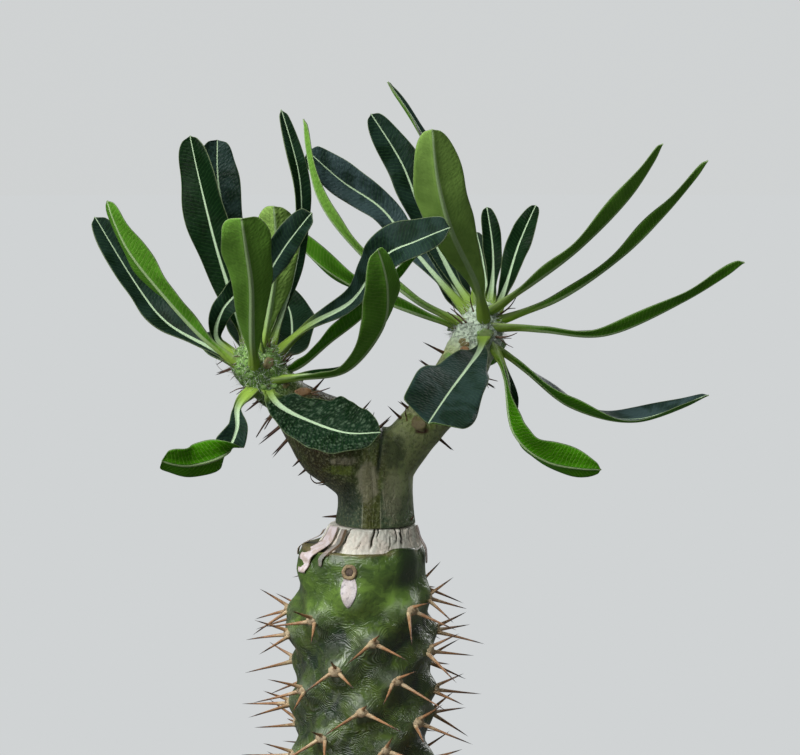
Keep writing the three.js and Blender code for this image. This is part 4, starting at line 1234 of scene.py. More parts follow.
class PACHYPODIUM_OT_rootstock(bpy.types.Operator):
    """Make the rootstock's skin with its tubercles and wrinkles"""
    bl_idname = "pachypodium.rootstock"
    bl_label = "Rootstock"

    def execute(self, context):
        look = settings().stock
        depth = look.wrinkle / MM
        foot = SOIL_TOP - FOOT_DEPTH
        around, rows = STOCK_CELLS

        def place(angle, share):
            row = round(share * rows)
            if row == 0:
                return Vector((0, 0, foot))
            if row == 1:
                return at_angle(FOOT_END_RADIUS, angle, foot)
            if row == rows:
                return Vector((0, 0, GRAFT_HEIGHT))
            height = mix(SOIL_TOP, GRAFT_HEIGHT, (row - 2) / (rows - 3))
            below = GRAFT_HEIGHT - height
            folds = wrinkles(stock_point(angle, height), height, stock_relief(angle, height))
            old = smoothstep(below, 6, 34)
            still = smoothstep(height, SOIL_TOP + 1, SOIL_TOP + 6) * smoothstep(below, 0, 4)
            point = stock_point(angle, height, depth * mix(0.35, 1, old) * still * folds)
            for number, (_, _, swell, rise) in enumerate(LOBES):
                lobe = lobe_at(number, angle)
                swollen = swell * lobe * smoothstep(height, GRAFT_HEIGHT - 12, GRAFT_HEIGHT - 2)
                point += at_angle(1, angle, 0) * swollen
                point.z += rise * lobe * smoothstep(height, GRAFT_HEIGHT - 5, GRAFT_HEIGHT)
            lip = LIP_RISE + 0.5 * noise.noise(Vector((3 * math.sin(angle), 3 * math.cos(angle), 0)))
            point.z += lip * smoothstep(height, GRAFT_HEIGHT - 6, GRAFT_HEIGHT)
            return point

        bm = wrap_round(around, rows, place)
        skin = bm.verts.layers.float_vector.new("skin")
        top = bm.verts.layers.float_vector.new("skin_top")
        crests = [(stock_point(angle, height), index) for angle, height, _, index in TUBERCLES]
        for vert in bm.verts:
            angle = math.atan2(vert.co.x, -vert.co.y)
            relief = stock_relief(angle, vert.co.z) / TUBERCLE_RISE
            youth = 1 - smoothstep(GRAFT_HEIGHT - vert.co.z, 14, 30)
            # The third skin mark rings each areole, where the skin gets painted sheen.
            near = min((vert.co - crest).length for crest, index in crests if index >= BARE_TUBERCLES)
            vert[skin] = (relief, youth, 1 - smoothstep(near, 1.2, 5.0))
            lobe = lobe_at(0, angle) * smoothstep(vert.co.z, GRAFT_HEIGHT - 16, GRAFT_HEIGHT - 8)
            ragged = vert.co.z + 0.6 * noise.noise(vert.co * 0.35)
            edge = smoothstep(ragged, GRAFT_HEIGHT + 0.7, GRAFT_HEIGHT + 1.3) * (1 - lobe)
            vert[top] = (lobe, edge, 0)
        make_piece("rootstock_skin", bm, skin_material(), ["rootstock"])
        return {"FINISHED"}


class PACHYPODIUM_OT_rootstock_thorns(bpy.types.Operator):
    """Make the thorns of the rootstock and the wool at their feet"""
    bl_idname = "pachypodium.rootstock_thorns"
    bl_label = "Rootstock thorns"

    def execute(self, context):
        look = settings().stock
        radius = look.thorn_radius / MM
        pattern = spike_pattern(7, 6)
        thorns = bmesh.new()
        pads = bmesh.new()
        random = seeded_random(97)
        bends = seeded_random(5)
        for angle, height, rise, index in TUBERCLES:
            if index < BARE_TUBERCLES or index == SCAR_TUBERCLE:
                continue
            out = at_angle(1, angle, 0)
            side = Vector((math.cos(angle), math.sin(angle), 0))
            foot = stock_point(angle, height - PAD_DROP, -PAD_DEPTH)
            for across, up, full in THORN_SETS:
                root = foot + side * (PAD_RADIUS * across) + Vector((0, 0, PAD_RADIUS * up))
                direction = out + side * (across + SIDE_SCATTER * (next(random) - 0.5))
                grown = min(1, rise / TUBERCLE_RISE + 0.2)
                reach = full * (1 + LENGTH_SCATTER * (next(random) - 0.5)) * grown
                lowest = (SOIL_TOP + THORN_OVER_SOIL - root.z) / reach
                direction.z = max(up + UP_SCATTER * (next(random) - 0.5), lowest)
                direction.normalize()
                bend = Vector([1.8 * (next(bends) - 0.5) for _ in range(3)])
                add_spike(thorns, pattern, root, direction, reach, radius, bend)
            self.add_pad(pads, foot + out * 0.5, out, side, rise / TUBERCLE_RISE, bends)
        horn = thorn_material("rootstock_thorn", look.thorn, look.thorn_middle, look.thorn_tip)
        make_piece("rootstock_thorns", thorns, horn)
        wool = scar_material("areole_wool", look.wool, tint(122, 92, 62), 0.92)
        make_piece("rootstock_areoles", pads, wool)
        return {"FINISHED"}

    def add_pad(self, pads, centre, out, side, size, random):
        """A woolly pad at the top of a tubercle."""
        verts = bmesh.ops.create_icosphere(pads, subdivisions=2, radius=1)["verts"]
        for vert in verts:
            lump = 1 + 0.28 * (next(random) - 0.5)
            flat = vert.co * lump * size
            vert.co = centre + side * (2.4 * flat.x) - out * (1.2 * flat.y) + Vector((0, 0, 1.8 * flat.z))


class PACHYPODIUM_OT_leaf_scar(bpy.types.Operator):
    """Make the ringed scar and the pale drop below it, on the front of the rootstock"""
    bl_idname = "pachypodium.leaf_scar"
    bl_label = "Leaf scar"

    def execute(self, context):
        middle = stock_point(SCAR_ANGLE, SCAR_HEIGHT)
        turn = frame_along(at_angle(1, SCAR_ANGLE, 0.25).normalized())
        bends = [2 * math.pi * step / 12 for step in range(12)]
        lip = [(SCAR_RING_RADIUS + 0.72 * math.cos(bend), 0.62 * math.sin(bend) + 0.3) for bend in bends]
        ring = spin_profile(lip, 40, closed=True)
        for vert in ring.verts:
            rough = 1 + 0.12 * noise.noise(vert.co * 1.3)
            vert.co = middle + turn @ (vert.co * rough)
        bark = scar_material("scar_ring", tint(158, 138, 100), tint(92, 66, 44), 0.8)
        make_piece("leaf_scar_ring", ring, bark)
        # A flat dark disc in the ring's middle: its colour is painted shade of the scar's hole.
        hollow = bmesh.new()
        bmesh.ops.create_uvsphere(hollow, u_segments=20, v_segments=10, radius=SCAR_PITH_RADIUS)
        for vert in hollow.verts:
            depth = 0.35 * vert.co.z + 0.35 * noise.noise(vert.co * 1.8)
            vert.co = middle + turn @ Vector((vert.co.x, vert.co.y, depth))
        hole_shade = scar_material("scar_hole_shade", tint(30, 20, 16), tint(74, 54, 44), 0.9)
        make_piece("leaf_scar_hole_shade", hollow, hole_shade)
        drop = grid_sheet(*DROP_CELLS, closed=True)
        for vert in drop.verts:
            share = (1 - vert.co.y) / 2
            round_top = math.sin(math.pi * min(share * 0.62 + 0.12, 1)) ** 0.8
            wide = SCAR_DROP_HALF_WIDTH * round_top * (1 - share) ** 0.55
            across = vert.co.x * max(wide, 0.05)
            level = SCAR_HEIGHT - SCAR_DROP_START - SCAR_DROP_LENGTH * share
            lift = 0.18 - 0.5 * (1 - vert.co.z) - 0.12 * abs(vert.co.x) ** 3
            vert.co = stock_point(SCAR_ANGLE + across / SHOULDER_RADIUS, level, lift + 0.12)
        turn_out(drop)
        pale = scar_material("scar_drop", tint(212, 204, 204), tint(140, 134, 140), 0.75)
        make_piece("leaf_scar_drop", drop, pale)
        return {"FINISHED"}


# Graft callus


def callus_radius(share):
    return mix(CALLUS_BASE_RADIUS, CALLUS_TOP_RADIUS, share)


def callus_shift(share):
    return mix(CALLUS_BASE_SHIFT, CALLUS_TOP_SHIFT, share)


# Cracks as (angle in degrees, from share, to share, half-width)
CRACKS = (
    (-33, 0.2, 1, 0.5), (3, 0.15, 1, 0.6), (8, 0.55, 1, 0.3), (24, 0.1, 0.7, 0.16), (-12, 0.05, 0.5, 0.14),
    (41, 0.2, 1, 0.85), (34, 0.3, 1, 0.3), (48, 0.5, 1, 0.35), (57, 0.25, 1, 0.6), (76, 0.2, 1, 0.6),
    (98, 0.3, 1, 0.45), (121, 0.0, 0.8, 0.3), (140, 0.3, 1, 0.7), (163, 0.4, 1, 0.4), (184, 0.2, 1, 0.6),
    (205, 0.0, 0.7, 0.3), (226, 0.4, 1, 0.5), (247, 0.2, 1, 0.7), (268, 0.3, 0.9, 0.3), (286, 0.35, 1, 0.6),
    (302, 0.1, 0.8, 0.3),
)
# Flaps of bark as (angle in degrees, top, bottom, width, stand-off at the bottom, tone from pink to brown)
FLAPS = (
    (-57, 210.2, 194.4, 7.2, 0.1, 0.0), (-38, 209.8, 197.4, 1.9, 0.1, 0.6),
    (-34, 209.8, 201.2, 1.1, 0.1, 1.0), (80, 209.5, 196.0, 3.2, 0.3, 0.1), (150, 208.5, 198.0, 3.2, 0.6, 0.2),
    (190, 209.5, 200.0, 1.6, 0.4, 0.7), (215, 208.5, 197.5, 2.8, 0.5, 0.4),
    (-104, 207.0, 197.5, 3.4, 0.4, 0.3),
)


class PACHYPODIUM_OT_callus(bpy.types.Operator):
    """Make the cracked cork ring of the graft and the bark that peels from it"""
    bl_idname = "pachypodium.callus"
    bl_label = "Graft callus"

    def execute(self, context):
        look = settings().stock
        bottom = GRAFT_HEIGHT + CLEARANCE
        top = CALLUS_TOP - CLEARANCE
        deep = look.crack_depth / MM
        around, rows = CALLUS_CELLS

        def crack_at(angle, share):
            depth = 0.0
            for degrees, low, high, half in CRACKS:
                wander = 0.8 * noise.noise(Vector((degrees, share * 3.4, 0.5))) + 0.7 * (share - 0.5)
                turn = math.remainder(angle - math.radians(degrees), 2 * math.pi)
                across = abs(turn * CALLUS_BASE_RADIUS - wander)
                taper = smoothstep(share, low - 0.05, low + 0.35) * (1 - smoothstep(share, high, high + 0.06))
                width = half * mix(0.35, 1, taper) + 0.12
                depth = max(depth, taper * (1 - smoothstep(across, 0.35 * width, 1.25 * width)))
            return depth

        def shape(angle, row):
            share = min(max((row - 1) / (rows - 2), 0), 1)
            level = mix(bottom, top, share)
            if row in (0, rows):
                return Vector((callus_shift(share), 0, level)), 0, 0
            crack = crack_at(angle, share)
            place = at_angle(20, angle, 10 * share)
            chunk = 0.5 * noise.noise(place * 0.28) + 0.3 * noise.noise(place * 0.9)
            lip = smoothstep(share, 0.8, 0.97) * smoothstep(noise.noise(place * 0.5), -0.2, 0.3)
            inner = smoothstep(share, 0.9, 1)
            radius = callus_radius(share) - 0.5 + chunk - deep * crack + 0.35 * lip - 0.5 * inner
            return at_angle(radius, angle, level, callus_shift(share)), crack, lip

        bm = wrap_round(around, rows, lambda angle, share: shape(angle, round(share * rows))[0])
        cork = bm.verts.layers.float_vector.new("cork")
        for vert in bm.verts:
            share = (vert.co.z - bottom) / (top - bottom)
            angle = math.atan2(vert.co.x - callus_shift(share), -vert.co.y)
            _, crack, lip = shape(angle, mix(1, rows - 1, share))
            vert[cork] = (crack, lip, 0)
        make_piece("graft_callus_cork", bm, cork_material(), ["graft_callus"])
        self.make_flaps()
        return {"FINISHED"}

    def make_flaps(self):
        """Ragged strips that run down from the cork over the rootstock's edge."""
        flaps = bmesh.new()
        flaps.verts.layers.float_vector.new("flap")
        for number, (degrees, high, low, width, stand, tone) in enumerate(FLAPS):
            strip = grid_sheet(*FLAP_CELLS, closed=True)
            marks = strip.verts.layers.float_vector.new("flap")
            for vert in strip.verts:
                share = (1 - vert.co.y) / 2
                level = mix(high, low, share)
                narrow = math.sin(math.pi * min(0.3 + 0.65 * share, 0.97)) ** 0.5
                ragged = 0.4 * noise.noise(Vector((vert.co.x * 2, share * 5, number)))
                across = 0.5 * width * vert.co.x * (narrow + 0.3 * ragged) + 0.5 * ragged
                angle = math.radians(degrees) + across / CALLUS_BASE_RADIUS
                place = smoothstep(level, GRAFT_HEIGHT - 1, GRAFT_HEIGHT + 5)
                cork_share = (level - GRAFT_HEIGHT) / (CALLUS_TOP - GRAFT_HEIGHT)
                skin = stock_radius(angle, min(level, GRAFT_HEIGHT - 3))
                under = mix(skin, callus_radius(max(cork_share, 0)), place)
                out = under + 0.15 + stand * share ** 2 + 0.3 * vert.co.z + 0.3 * ragged
                out += 0.2 * abs(vert.co.x) ** 2
                vert[marks] = (vert.co.x, share, tone)
                vert.co = at_angle(out, angle, level, callus_shift(cork_share) * place)
            turn_out(strip)
            pour_into(flaps, strip)
        make_piece("graft_bark_flaps", flaps, flap_material())


# Scion


def stem_station(path, radii, t):
    """At share t of a stem's length: its axis, the ways along, to the front and to the right, its radius."""
    heading = heading_at(path, t).normalized()
    front = square_to(Vector((0, -1, 0)), heading)
    radius = along_curve([(value, 0) for value in radii], t)[0]
    return along_curve(path, t), heading, front, heading.cross(front), radius


def stem_side(path, radii, t, degrees):
    """A place on a stem's side: the axis there, the ways along, out and round, and the radius."""
    centre, heading, front, right, radius = stem_station(path, radii, t)
    angle = math.radians(degrees)
    out = front * math.cos(angle) + right * math.sin(angle)
    return centre, heading, out, heading.cross(out), radius


def stem_skin(path, radii):
    """The closed skin of one stem."""
    around, rows = STEM_CELLS

    def place(angle, share):
        row = round(share * rows)
        t = min(max((row - 1) / (rows - 2), 0), 1)
        centre, _, front, right, radius = stem_station(path, radii, t)
        if row in (0, rows):
            return centre
        return centre + (right * math.sin(angle) + front * math.cos(angle)) * radius

    return wrap_round(around, rows, place)


# Spots on the bark as (middle, half-width, half-height): pale ones, partly pale bark and partly painted
# highlights, then yellow-green and brown ones
BARK_SPOTS_AND_HIGHLIGHTS = (
    (((-6.4, -14, 234.4), 5, 1.6), ((2.2, -14, 227), 3.8, 7.5), ((11, -12, 221.5), 3.6, 9.5),
     ((21, -8, 251), 5.5, 1.2), ((10, 14, 226), 5, 3), ((-24, 8, 256), 4, 3)),
    (((-7.6, -14, 231.2), 5.6, 2.1), ((21, -8, 247.6), 6, 4.2), ((0, 13, 234), 5, 4), ((34, 9, 262), 4, 5)),
    (((21.6, -8, 244.5), 2.6, 1.2), ((-14, -14, 239), 3, 1.2), ((12, 13, 236), 3, 1.4)),
)
# Painted shade: dark green patches beside the groove, at the trunk's left and under the branches
BARK_PAINTED_SHADE = (
    ((11.4, -12, 237.5), 4.2, 6.5), ((-4.2, -14, 221), 3.6, 6), ((-14, -8, 241), 6, 3), ((2, 14, 243), 4, 5),
)


def ellipse_share(point, row):
    """How much of a ragged spot covers a point of the bark, from 0 to 1."""
    middle, wide, high = row
    gap = point - Vector(middle)
    reach = math.sqrt((gap.x / wide) ** 2 + (gap.z / high) ** 2 + (gap.y / 12) ** 2)
    reach += 0.35 * noise.noise(point * 0.5)
    return 1 - smoothstep(reach, 0.7, 1.2)


class PACHYPODIUM_OT_scion(bpy.types.Operator):
    """Make the forked stem as one smooth skin"""
    bl_idname = "pachypodium.scion"
    bl_label = "Scion"

    def execute(self, context):
        whole = bmesh.new()
        for path, radii, _ in STEMS:
            pour_into(whole, stem_skin(path, radii))
        piece = make_piece("scion_bark", whole, bark_material(), ["scion_stem"])
        remesh = piece.modifiers.new("skin", "REMESH")
        remesh.mode = "VOXEL"
        remesh.voxel_size = VOXEL * MM
        bake_modifiers(piece)
        bm = bmesh.new()
        bm.from_mesh(piece.data)
        fork = Vector(FORK_MIDDLE)
        near_fork = [vert for vert in bm.verts if (vert.co / MM - fork).length < FORK_REACH]
        for verts, rounds in ((near_fork, FORK_ROUNDS), (bm.verts[:], SKIN_ROUNDS)):
            for _ in range(rounds):
                bmesh.ops.smooth_vert(bm, verts=verts, factor=0.5, use_axis_x=True, use_axis_y=True,
                                      use_axis_z=True)
        bm.normal_update()
        bark = bm.verts.layers.float_vector.new("bark")
        spots = bm.verts.layers.float_vector.new("bark_spots_and_highlights")
        moves = []
        for vert in bm.verts:
            point = vert.co / MM
            nearest = min((point - Vector(head)).length for head in (LEFT_HEAD, RIGHT_HEAD))
            bud = 1 - smoothstep(nearest, 9, 19)
            fork = 1 - smoothstep((point - Vector((6, -4, 240))).length, 5, 17)
            shade = max(ellipse_share(point, row) for row in BARK_PAINTED_SHADE)
            groove = self.groove_at(point)
            knobs = noise.noise(point * 0.3) + 0.35 * noise.noise(point * 0.9)
            swell = 0.6 * bud * knobs + 0.3 * noise.noise(point * 0.16) - 0.6 * groove
            moves.append(vert.co + vert.normal * swell * MM)
            # The third bark mark is painted shade in the groove and in the dark patches beside it and under
            # the branches.
            vert[bark] = (bud, fork, max(groove, 0.75 * shade))
            vert[spots] = [max(ellipse_share(point, row) for row in rows) for rows in BARK_SPOTS_AND_HIGHLIGHTS]
        for vert, place in zip(bm.verts, moves):
            vert.co = place
        bm.to_mesh(piece.data)
        bm.free()
        return {"FINISHED"}

    def groove_at(self, point):
        """The groove that runs down the front from the fork, which the bark darkens with painted shade."""
        share = min(max((GROOVE_TOP - point.z) / GROOVE_LENGTH, 0), 1)
        across = abs(point.x - mix(GROOVE_TOP_X, GROOVE_FOOT_X, share))
        ends = smoothstep(point.z, 228, 232) * (1 - smoothstep(point.z, 246, 250))
        front = 1 - smoothstep(point.y, -4, 0)
        return (1 - smoothstep(across, 0.3, 1.1)) * ends * front


# Stem scars as (stem, way along, angle in degrees, size)
STEM_SCARS = (
    (1, 0.82, 28, 2.4), (1, 0.62, 30, 1.6), (1, 0.44, -40, 1.7), (1, 0.7, 150, 2.0), (1, 0.5, -150, 1.8),
    (2, 0.24, -14, 3.0), (2, 0.74, -28, 2.2), (2, 0.52, 20, 1.7), (2, 0.62, 160, 2.0), (2, 0.4, -140, 1.9),
    (0, 0.55, 150, 1.8),
)


def add_knob(bm, centre, side, up, out, size, seed=0.0):
    """A low, lumpy knob with a dent in its middle."""
    verts = bmesh.ops.create_uvsphere(bm, u_segments=24, v_segments=12, radius=1)["verts"]
    for vert in verts:
        dent = 0.4 * math.exp(-2 * (vert.co.x ** 2 + vert.co.y ** 2)) if vert.co.z > 0 else 0
        lump = 1 + 0.3 * noise.noise(vert.co * 2.1 + Vector((seed, 0, 0)))
        local = side * (vert.co.x * size[0]) + up * (vert.co.y * size[1])
        local += out * ((vert.co.z - dent) * size[2])
        vert.co = centre + local * lump


class PACHYPODIUM_OT_scion_thorns(bpy.types.Operator):
    """Make the paired thorns and the leaf scars of the forked stem"""
    bl_idname = "pachypodium.scion_thorns"
    bl_label = "Scion thorns"

    def execute(self, context):
        look = settings().scion
        radius = look.thorn_radius / MM
        pattern = spike_pattern(8, 6)
        thorns = bmesh.new()
        bends = seeded_random(23)
        for path, radii, places in STEMS:
            for t, degrees, reach in places:
                centre, heading, out, side, width = stem_side(path, radii, t, degrees)
                foot = centre + out * (width - THORN_SINK)
                for way in (-THORN_PAIR_LEAN, THORN_PAIR_LEAN):
                    direction = (out + side * way).normalized()
                    bend = heading * (1.6 * (next(bends) - 0.35)) + side * (1.2 * (next(bends) - 0.5))
                    add_spike(thorns, pattern, foot, direction, reach, radius, bend)
        horn = thorn_material("scion_thorn", tint(124, 92, 66), look.thorn, tint(30, 22, 20))
        make_piece("scion_thorns", thorns, horn)
        scars = bmesh.new()
        for stem, t, degrees, size in STEM_SCARS:
            path, radii, _ = STEMS[stem]
            centre, heading, out, side, width = stem_side(path, radii, t, degrees)
            foot = centre + out * (width - 0.35)
            add_knob(scars, foot, side, heading, out, (size, size * 0.8, 0.9), t * 9)
        wood = scar_material("stem_scar", look.scar, tint(92, 76, 54), 0.85)
        make_piece("scion_scars", scars, wood)
        return {"FINISHED"}


# Leaves


def half_width(width, stalk, point, s):
    """Half of a leaf's width at share s of its length."""
    t = min(max((s - stalk) / (1 - stalk), 0), 1)
    widest = LONG_BASE / (LONG_BASE + point)
    blade = (t ** LONG_BASE * (1 - t) ** point) / (widest ** LONG_BASE * (1 - widest) ** point)
    return max(width / 2 * blade, mix(STALK_HALF_WIDTH, TIP_HALF_WIDTH, s))


def leaf_station(midrib, faces, s):
    """At share s of a leaf's length: its midrib, and the ways up and to the side."""
    heading = heading_at(midrib, s).normalized()
    up = square_to(along_curve(faces, s).normalized(), heading)
    return along_curve(midrib, s), up, heading.cross(up)


def leaf_mesh(leaf, head, order, look):
    """A blade with a round-keeled midrib, waved margins and a round stalk."""
    midrib, width, faces, stalk, point, tone = leaf
    steps = LEAF_CELLS[1]
    bm = grid_sheet(*LEAF_CELLS, closed=True)
    blade = bm.verts.layers.float_vector.new("blade")
    shape = bm.verts.layers.float_vector.new("blade_shape")
    tones = bm.verts.layers.float_vector.new("blade_sheen_backlight_relief")
    stations = []
    travelled = 0.0
    for step in range(steps + 1):
        s = 1 - (1 - step / steps) ** TIP_CROWDING
        station = leaf_station(midrib, faces, s)
        if stations:
            travelled += (station[0] - stations[-1][1][0]).length
        stations.append((s, station, half_width(width, stalk, point, s), travelled))
    thin = look.thickness / MM
    thick = look.rib_thickness / MM
    for vert in bm.verts:
        s, (centre, up, side), half, travelled = stations[round((vert.co.y + 1) / 2 * steps)]
        edge = math.copysign(abs(vert.co.x) ** EDGE_CROWDING, vert.co.x)
        top = vert.co.z > 0.5
        in_blade = smoothstep(s, STALK_SHARE * BLADE_START, STALK_SHARE * BLADE_FULL)
        phase = order + (2 if edge < 0 else 0)
        size = min(1, half / WAVY_HALF_WIDTH)
        wave = look.wave / MM * math.sin(2 * math.pi * WAVES_PER_BLADE * s + phase)
        short = look.ripple / MM * math.sin(2 * math.pi * RIPPLES_PER_BLADE * s + 2.1 * phase) * tone[2]
        flare = 1 + STALK_FLARE * (1 - smoothstep(travelled, FLARE_FROM, FLARE_TO))
        swing = math.sin(2 * math.pi * SWINGS_PER_BLADE * s + 1.7 * phase)
        uneven = 1 + look.uneven * in_blade * swing
        pointed = 1 - 0.8 * smoothstep(s, 0.97, 1)
        half = half * flare * uneven * pointed
        channel = CHANNEL * half * math.sqrt(edge * edge + 0.03)
        lift = in_blade * (channel + (wave + short) * edge * edge * size)
        keel = math.exp(-(edge * half / KEEL_HALF_WIDTH) ** 2)
        round_stalk = math.sqrt(max(1 - edge * edge, 0))
        blade_thickness = thin + (thick - thin) * keel
        stalk_thickness = STALK_THICKNESS * flare ** 0.5 * (0.25 + 0.75 * round_stalk)
        drop = mix(stalk_thickness, blade_thickness * mix(1.35, 0.85, s), in_blade)
        drop *= 1 - 0.5 * in_blade * max(smoothstep(abs(edge), 0.7, 1), smoothstep(s, 0.9, 1))
        groove = RIB_GROOVE_DEPTH * in_blade * math.exp(-(edge * half / RIB_GROOVE_HALF_WIDTH) ** 2)
        height = lift - (groove if top else drop)
        vert[blade] = (edge * half, travelled, 1 if top else -1)
        vert[shape] = (edge, s, half)
        # The tone gives the shader each leaf's painted bluish sheen and painted light from behind; its third
        # value is the relief.
        vert[tones] = tone
        vert.co = Vector(head) + centre + side * (edge * half) + up * height
    turn_out(bm)
    return bm


class PACHYPODIUM_OT_leaves(bpy.types.Operator):
    """Make every leaf of both heads"""
    bl_idname = "pachypodium.leaves"
    bl_label = "Leaves"

    def execute(self, context):
        look = settings().leaves
        material = leaf_material()
        for name, head, leaves in (("left", LEFT_HEAD, LEFT_LEAVES), ("right", RIGHT_HEAD, RIGHT_LEAVES)):
            for order, leaf in enumerate(leaves):
                label = f"{name}_{order + 1:02d}"
                bm = leaf_mesh(leaf, head, order, look)
                make_piece("blade_" + label, bm, material, ["leaf_" + label])
        return {"FINISHED"}


# Curved bristles and stray hairs as (points from foot to tip, radius)
BRISTLES = (
    (((-50.8, -5, 270.2), (-53.1, -7, 271.1), (-56.7, -8, 269.0)), 0.5),
    (((-46.7, -6, 264.5), (-50.9, -7, 265.1), (-53.3, -8, 268.0), (-52.7, -8, 270.5)), 0.14),
    (((-42.3, -6, 258.7), (-45.2, -8, 258.4), (-48.3, -9, 256.9)), 0.4),
    (((-42.3, -6, 257.8), (-44.1, -8, 257.1), (-46.0, -9, 255.7)), 0.4),
    (((-35.3, -5, 254.5), (-37.4, -7, 254.8), (-39.2, -8, 254.3)), 0.35),
    (((-31.8, -6, 251.1), (-34.9, -8, 247.0), (-38.2, -9, 241.8)), 0.75),
    (((-31.4, -6, 250.9), (-33.1, -9, 248.2), (-34.9, -11, 245.1)), 0.65),
    (((-18.3, -6, 258.4), (-14.5, -8, 259.3), (-10.7, -9, 260.7)), 0.5),
    (((-17.9, -6, 257.8), (-15.6, -8, 257.8), (-13.2, -9, 257.4)), 0.4),
    (((-25.7, -6, 269.2), (-23.0, -8, 271.6), (-20.1, -9, 272.7)), 0.3),
    (((-26.0, -6, 269.2), (-23.7, -8, 272.0), (-21.6, -9, 273.2)), 0.3),
    (((-26.3, -6, 269.5), (-25.2, -7, 272.1), (-23.1, -8, 274.0)), 0.3),
    (((-24.9, -6, 268.7), (-22.3, -8, 270.7), (-20.8, -9, 271.6)), 0.3),
    (((-33.4, -7, 273.6), (-34.0, -8, 275.4), (-34.9, -8, 276.5)), 0.3),
    (((-33.4, -7, 273.6), (-33.7, -8, 276.5), (-34.4, -8, 279.0)), 0.3),
    (((-33.0, -7, 273.6), (-32.6, -8, 276.1), (-31.9, -8, 278.2)), 0.3),
    (((36.7, -3, 284.5), (33.3, -5, 288.0), (30.6, -6, 290.1)), 0.5),
    (((34.8, -3, 284.2), (31.5, -5, 287.1), (29.1, -6, 288.9)), 0.5),
    (((38.6, -2, 288.9), (37.6, -3, 291.8), (37.1, -4, 294.6)), 0.5),
    (((52.1, -1, 286.6), (56.2, -3, 289.8), (58.8, -4, 293.7)), 0.5),
    (((52.8, -1, 286.6), (56.3, -3, 289.1), (59.3, -4, 289.5)), 0.4),
    (((48.5, -3, 277.8), (52.9, -5, 278.1), (56.5, -6, 279.6)), 0.5),
    (((48.9, -3, 277.4), (51.9, -5, 277.4), (54.8, -6, 277.4)), 0.35),
    (((51.5, -2, 276.4), (53.8, -4, 274.3), (56.8, -5, 272.8)), 0.35),
    (((45.4, 0, 262.0), (47.9, -1, 261.4), (50.6, -2, 260.8)), 0.45),
    (((45.4, 0, 262.0), (46.4, -2, 260.0), (47.2, -3, 258.3)), 0.35),
    (((6.9, -9, 247.9), (5.0, -11, 252.4), (5.7, -12, 256.1)), 0.42),
    (((14.8, -8, 249.6), (14.2, -9, 252.9), (14.4, -10, 255.9)), 0.36),
    (((-13.2, -6, 225.8), (-16.4, -7, 225.4), (-18.2, -8, 227.2), (-18.5, -8, 229.7)), 0.42),
    (((18.4, -6, 212.0), (19.1, -7, 213.2), (19.6, -7, 214.0)), 0.6),
    (((-44, 6, 262), (-48, 9, 264), (-51, 11, 268)), 0.4),
    (((-32, 7, 266), (-29, 11, 268), (-27, 14, 273)), 0.4),
    (((-38, 7, 258), (-39, 11, 258), (-42, 14, 256)), 0.4),
    (((38, 12, 282), (34, 16, 285), (32, 19, 290)), 0.4),
    (((48, 12, 280), (52, 16, 281), (54, 19, 284)), 0.4),
    (((44, 12, 274), (45, 17, 273), (47, 20, 270)), 0.4),
)
# Knobs on the heads as (middle, half-width, half-height, 1 for a dry bud)
KNOBS = (
    ((-31.1, -11, 266.2), 1.3, 1.1, 0), ((-40.8, -8, 260.2), 1.1, 0.9, 0), ((-34.8, -9, 260.7), 1.0, 0.8, 0),
    ((-30.8, -9, 260.7), 1.1, 0.8, 0), ((-21.7, -6, 257.2), 3.2, 1.7, 1), ((36.5, -6, 273.4), 1.7, 1.6, 1),
    ((30.2, -3, 271.3), 1.7, 1.5, 0), ((44.3, -5, 279.0), 2.9, 2.0, 0), ((42, 12, 277), 1.4, 1.2, 0),
    ((-36, 7, 262), 1.4, 1.2, 0),
)


def add_curved_spike(bm, pattern, points, radius):
    """A bristle or hair that follows points from its foot to its tip."""
    marks = bm.verts.layers.float_vector["spike"]
    reach = sum((Vector(second) - Vector(first)).length for first, second in zip(points, points[1:]))
    for vert in add_copy(bm, pattern):
        share = vert.co.z
        flat = Vector((vert.co.x, vert.co.y, 0)) * radius * mix(1, 0.25, share ** 0.6)
        vert[marks] = (share, reach, 0)
        vert.co = along_curve(points, share) + frame_along(heading_at(points, share)) @ flat


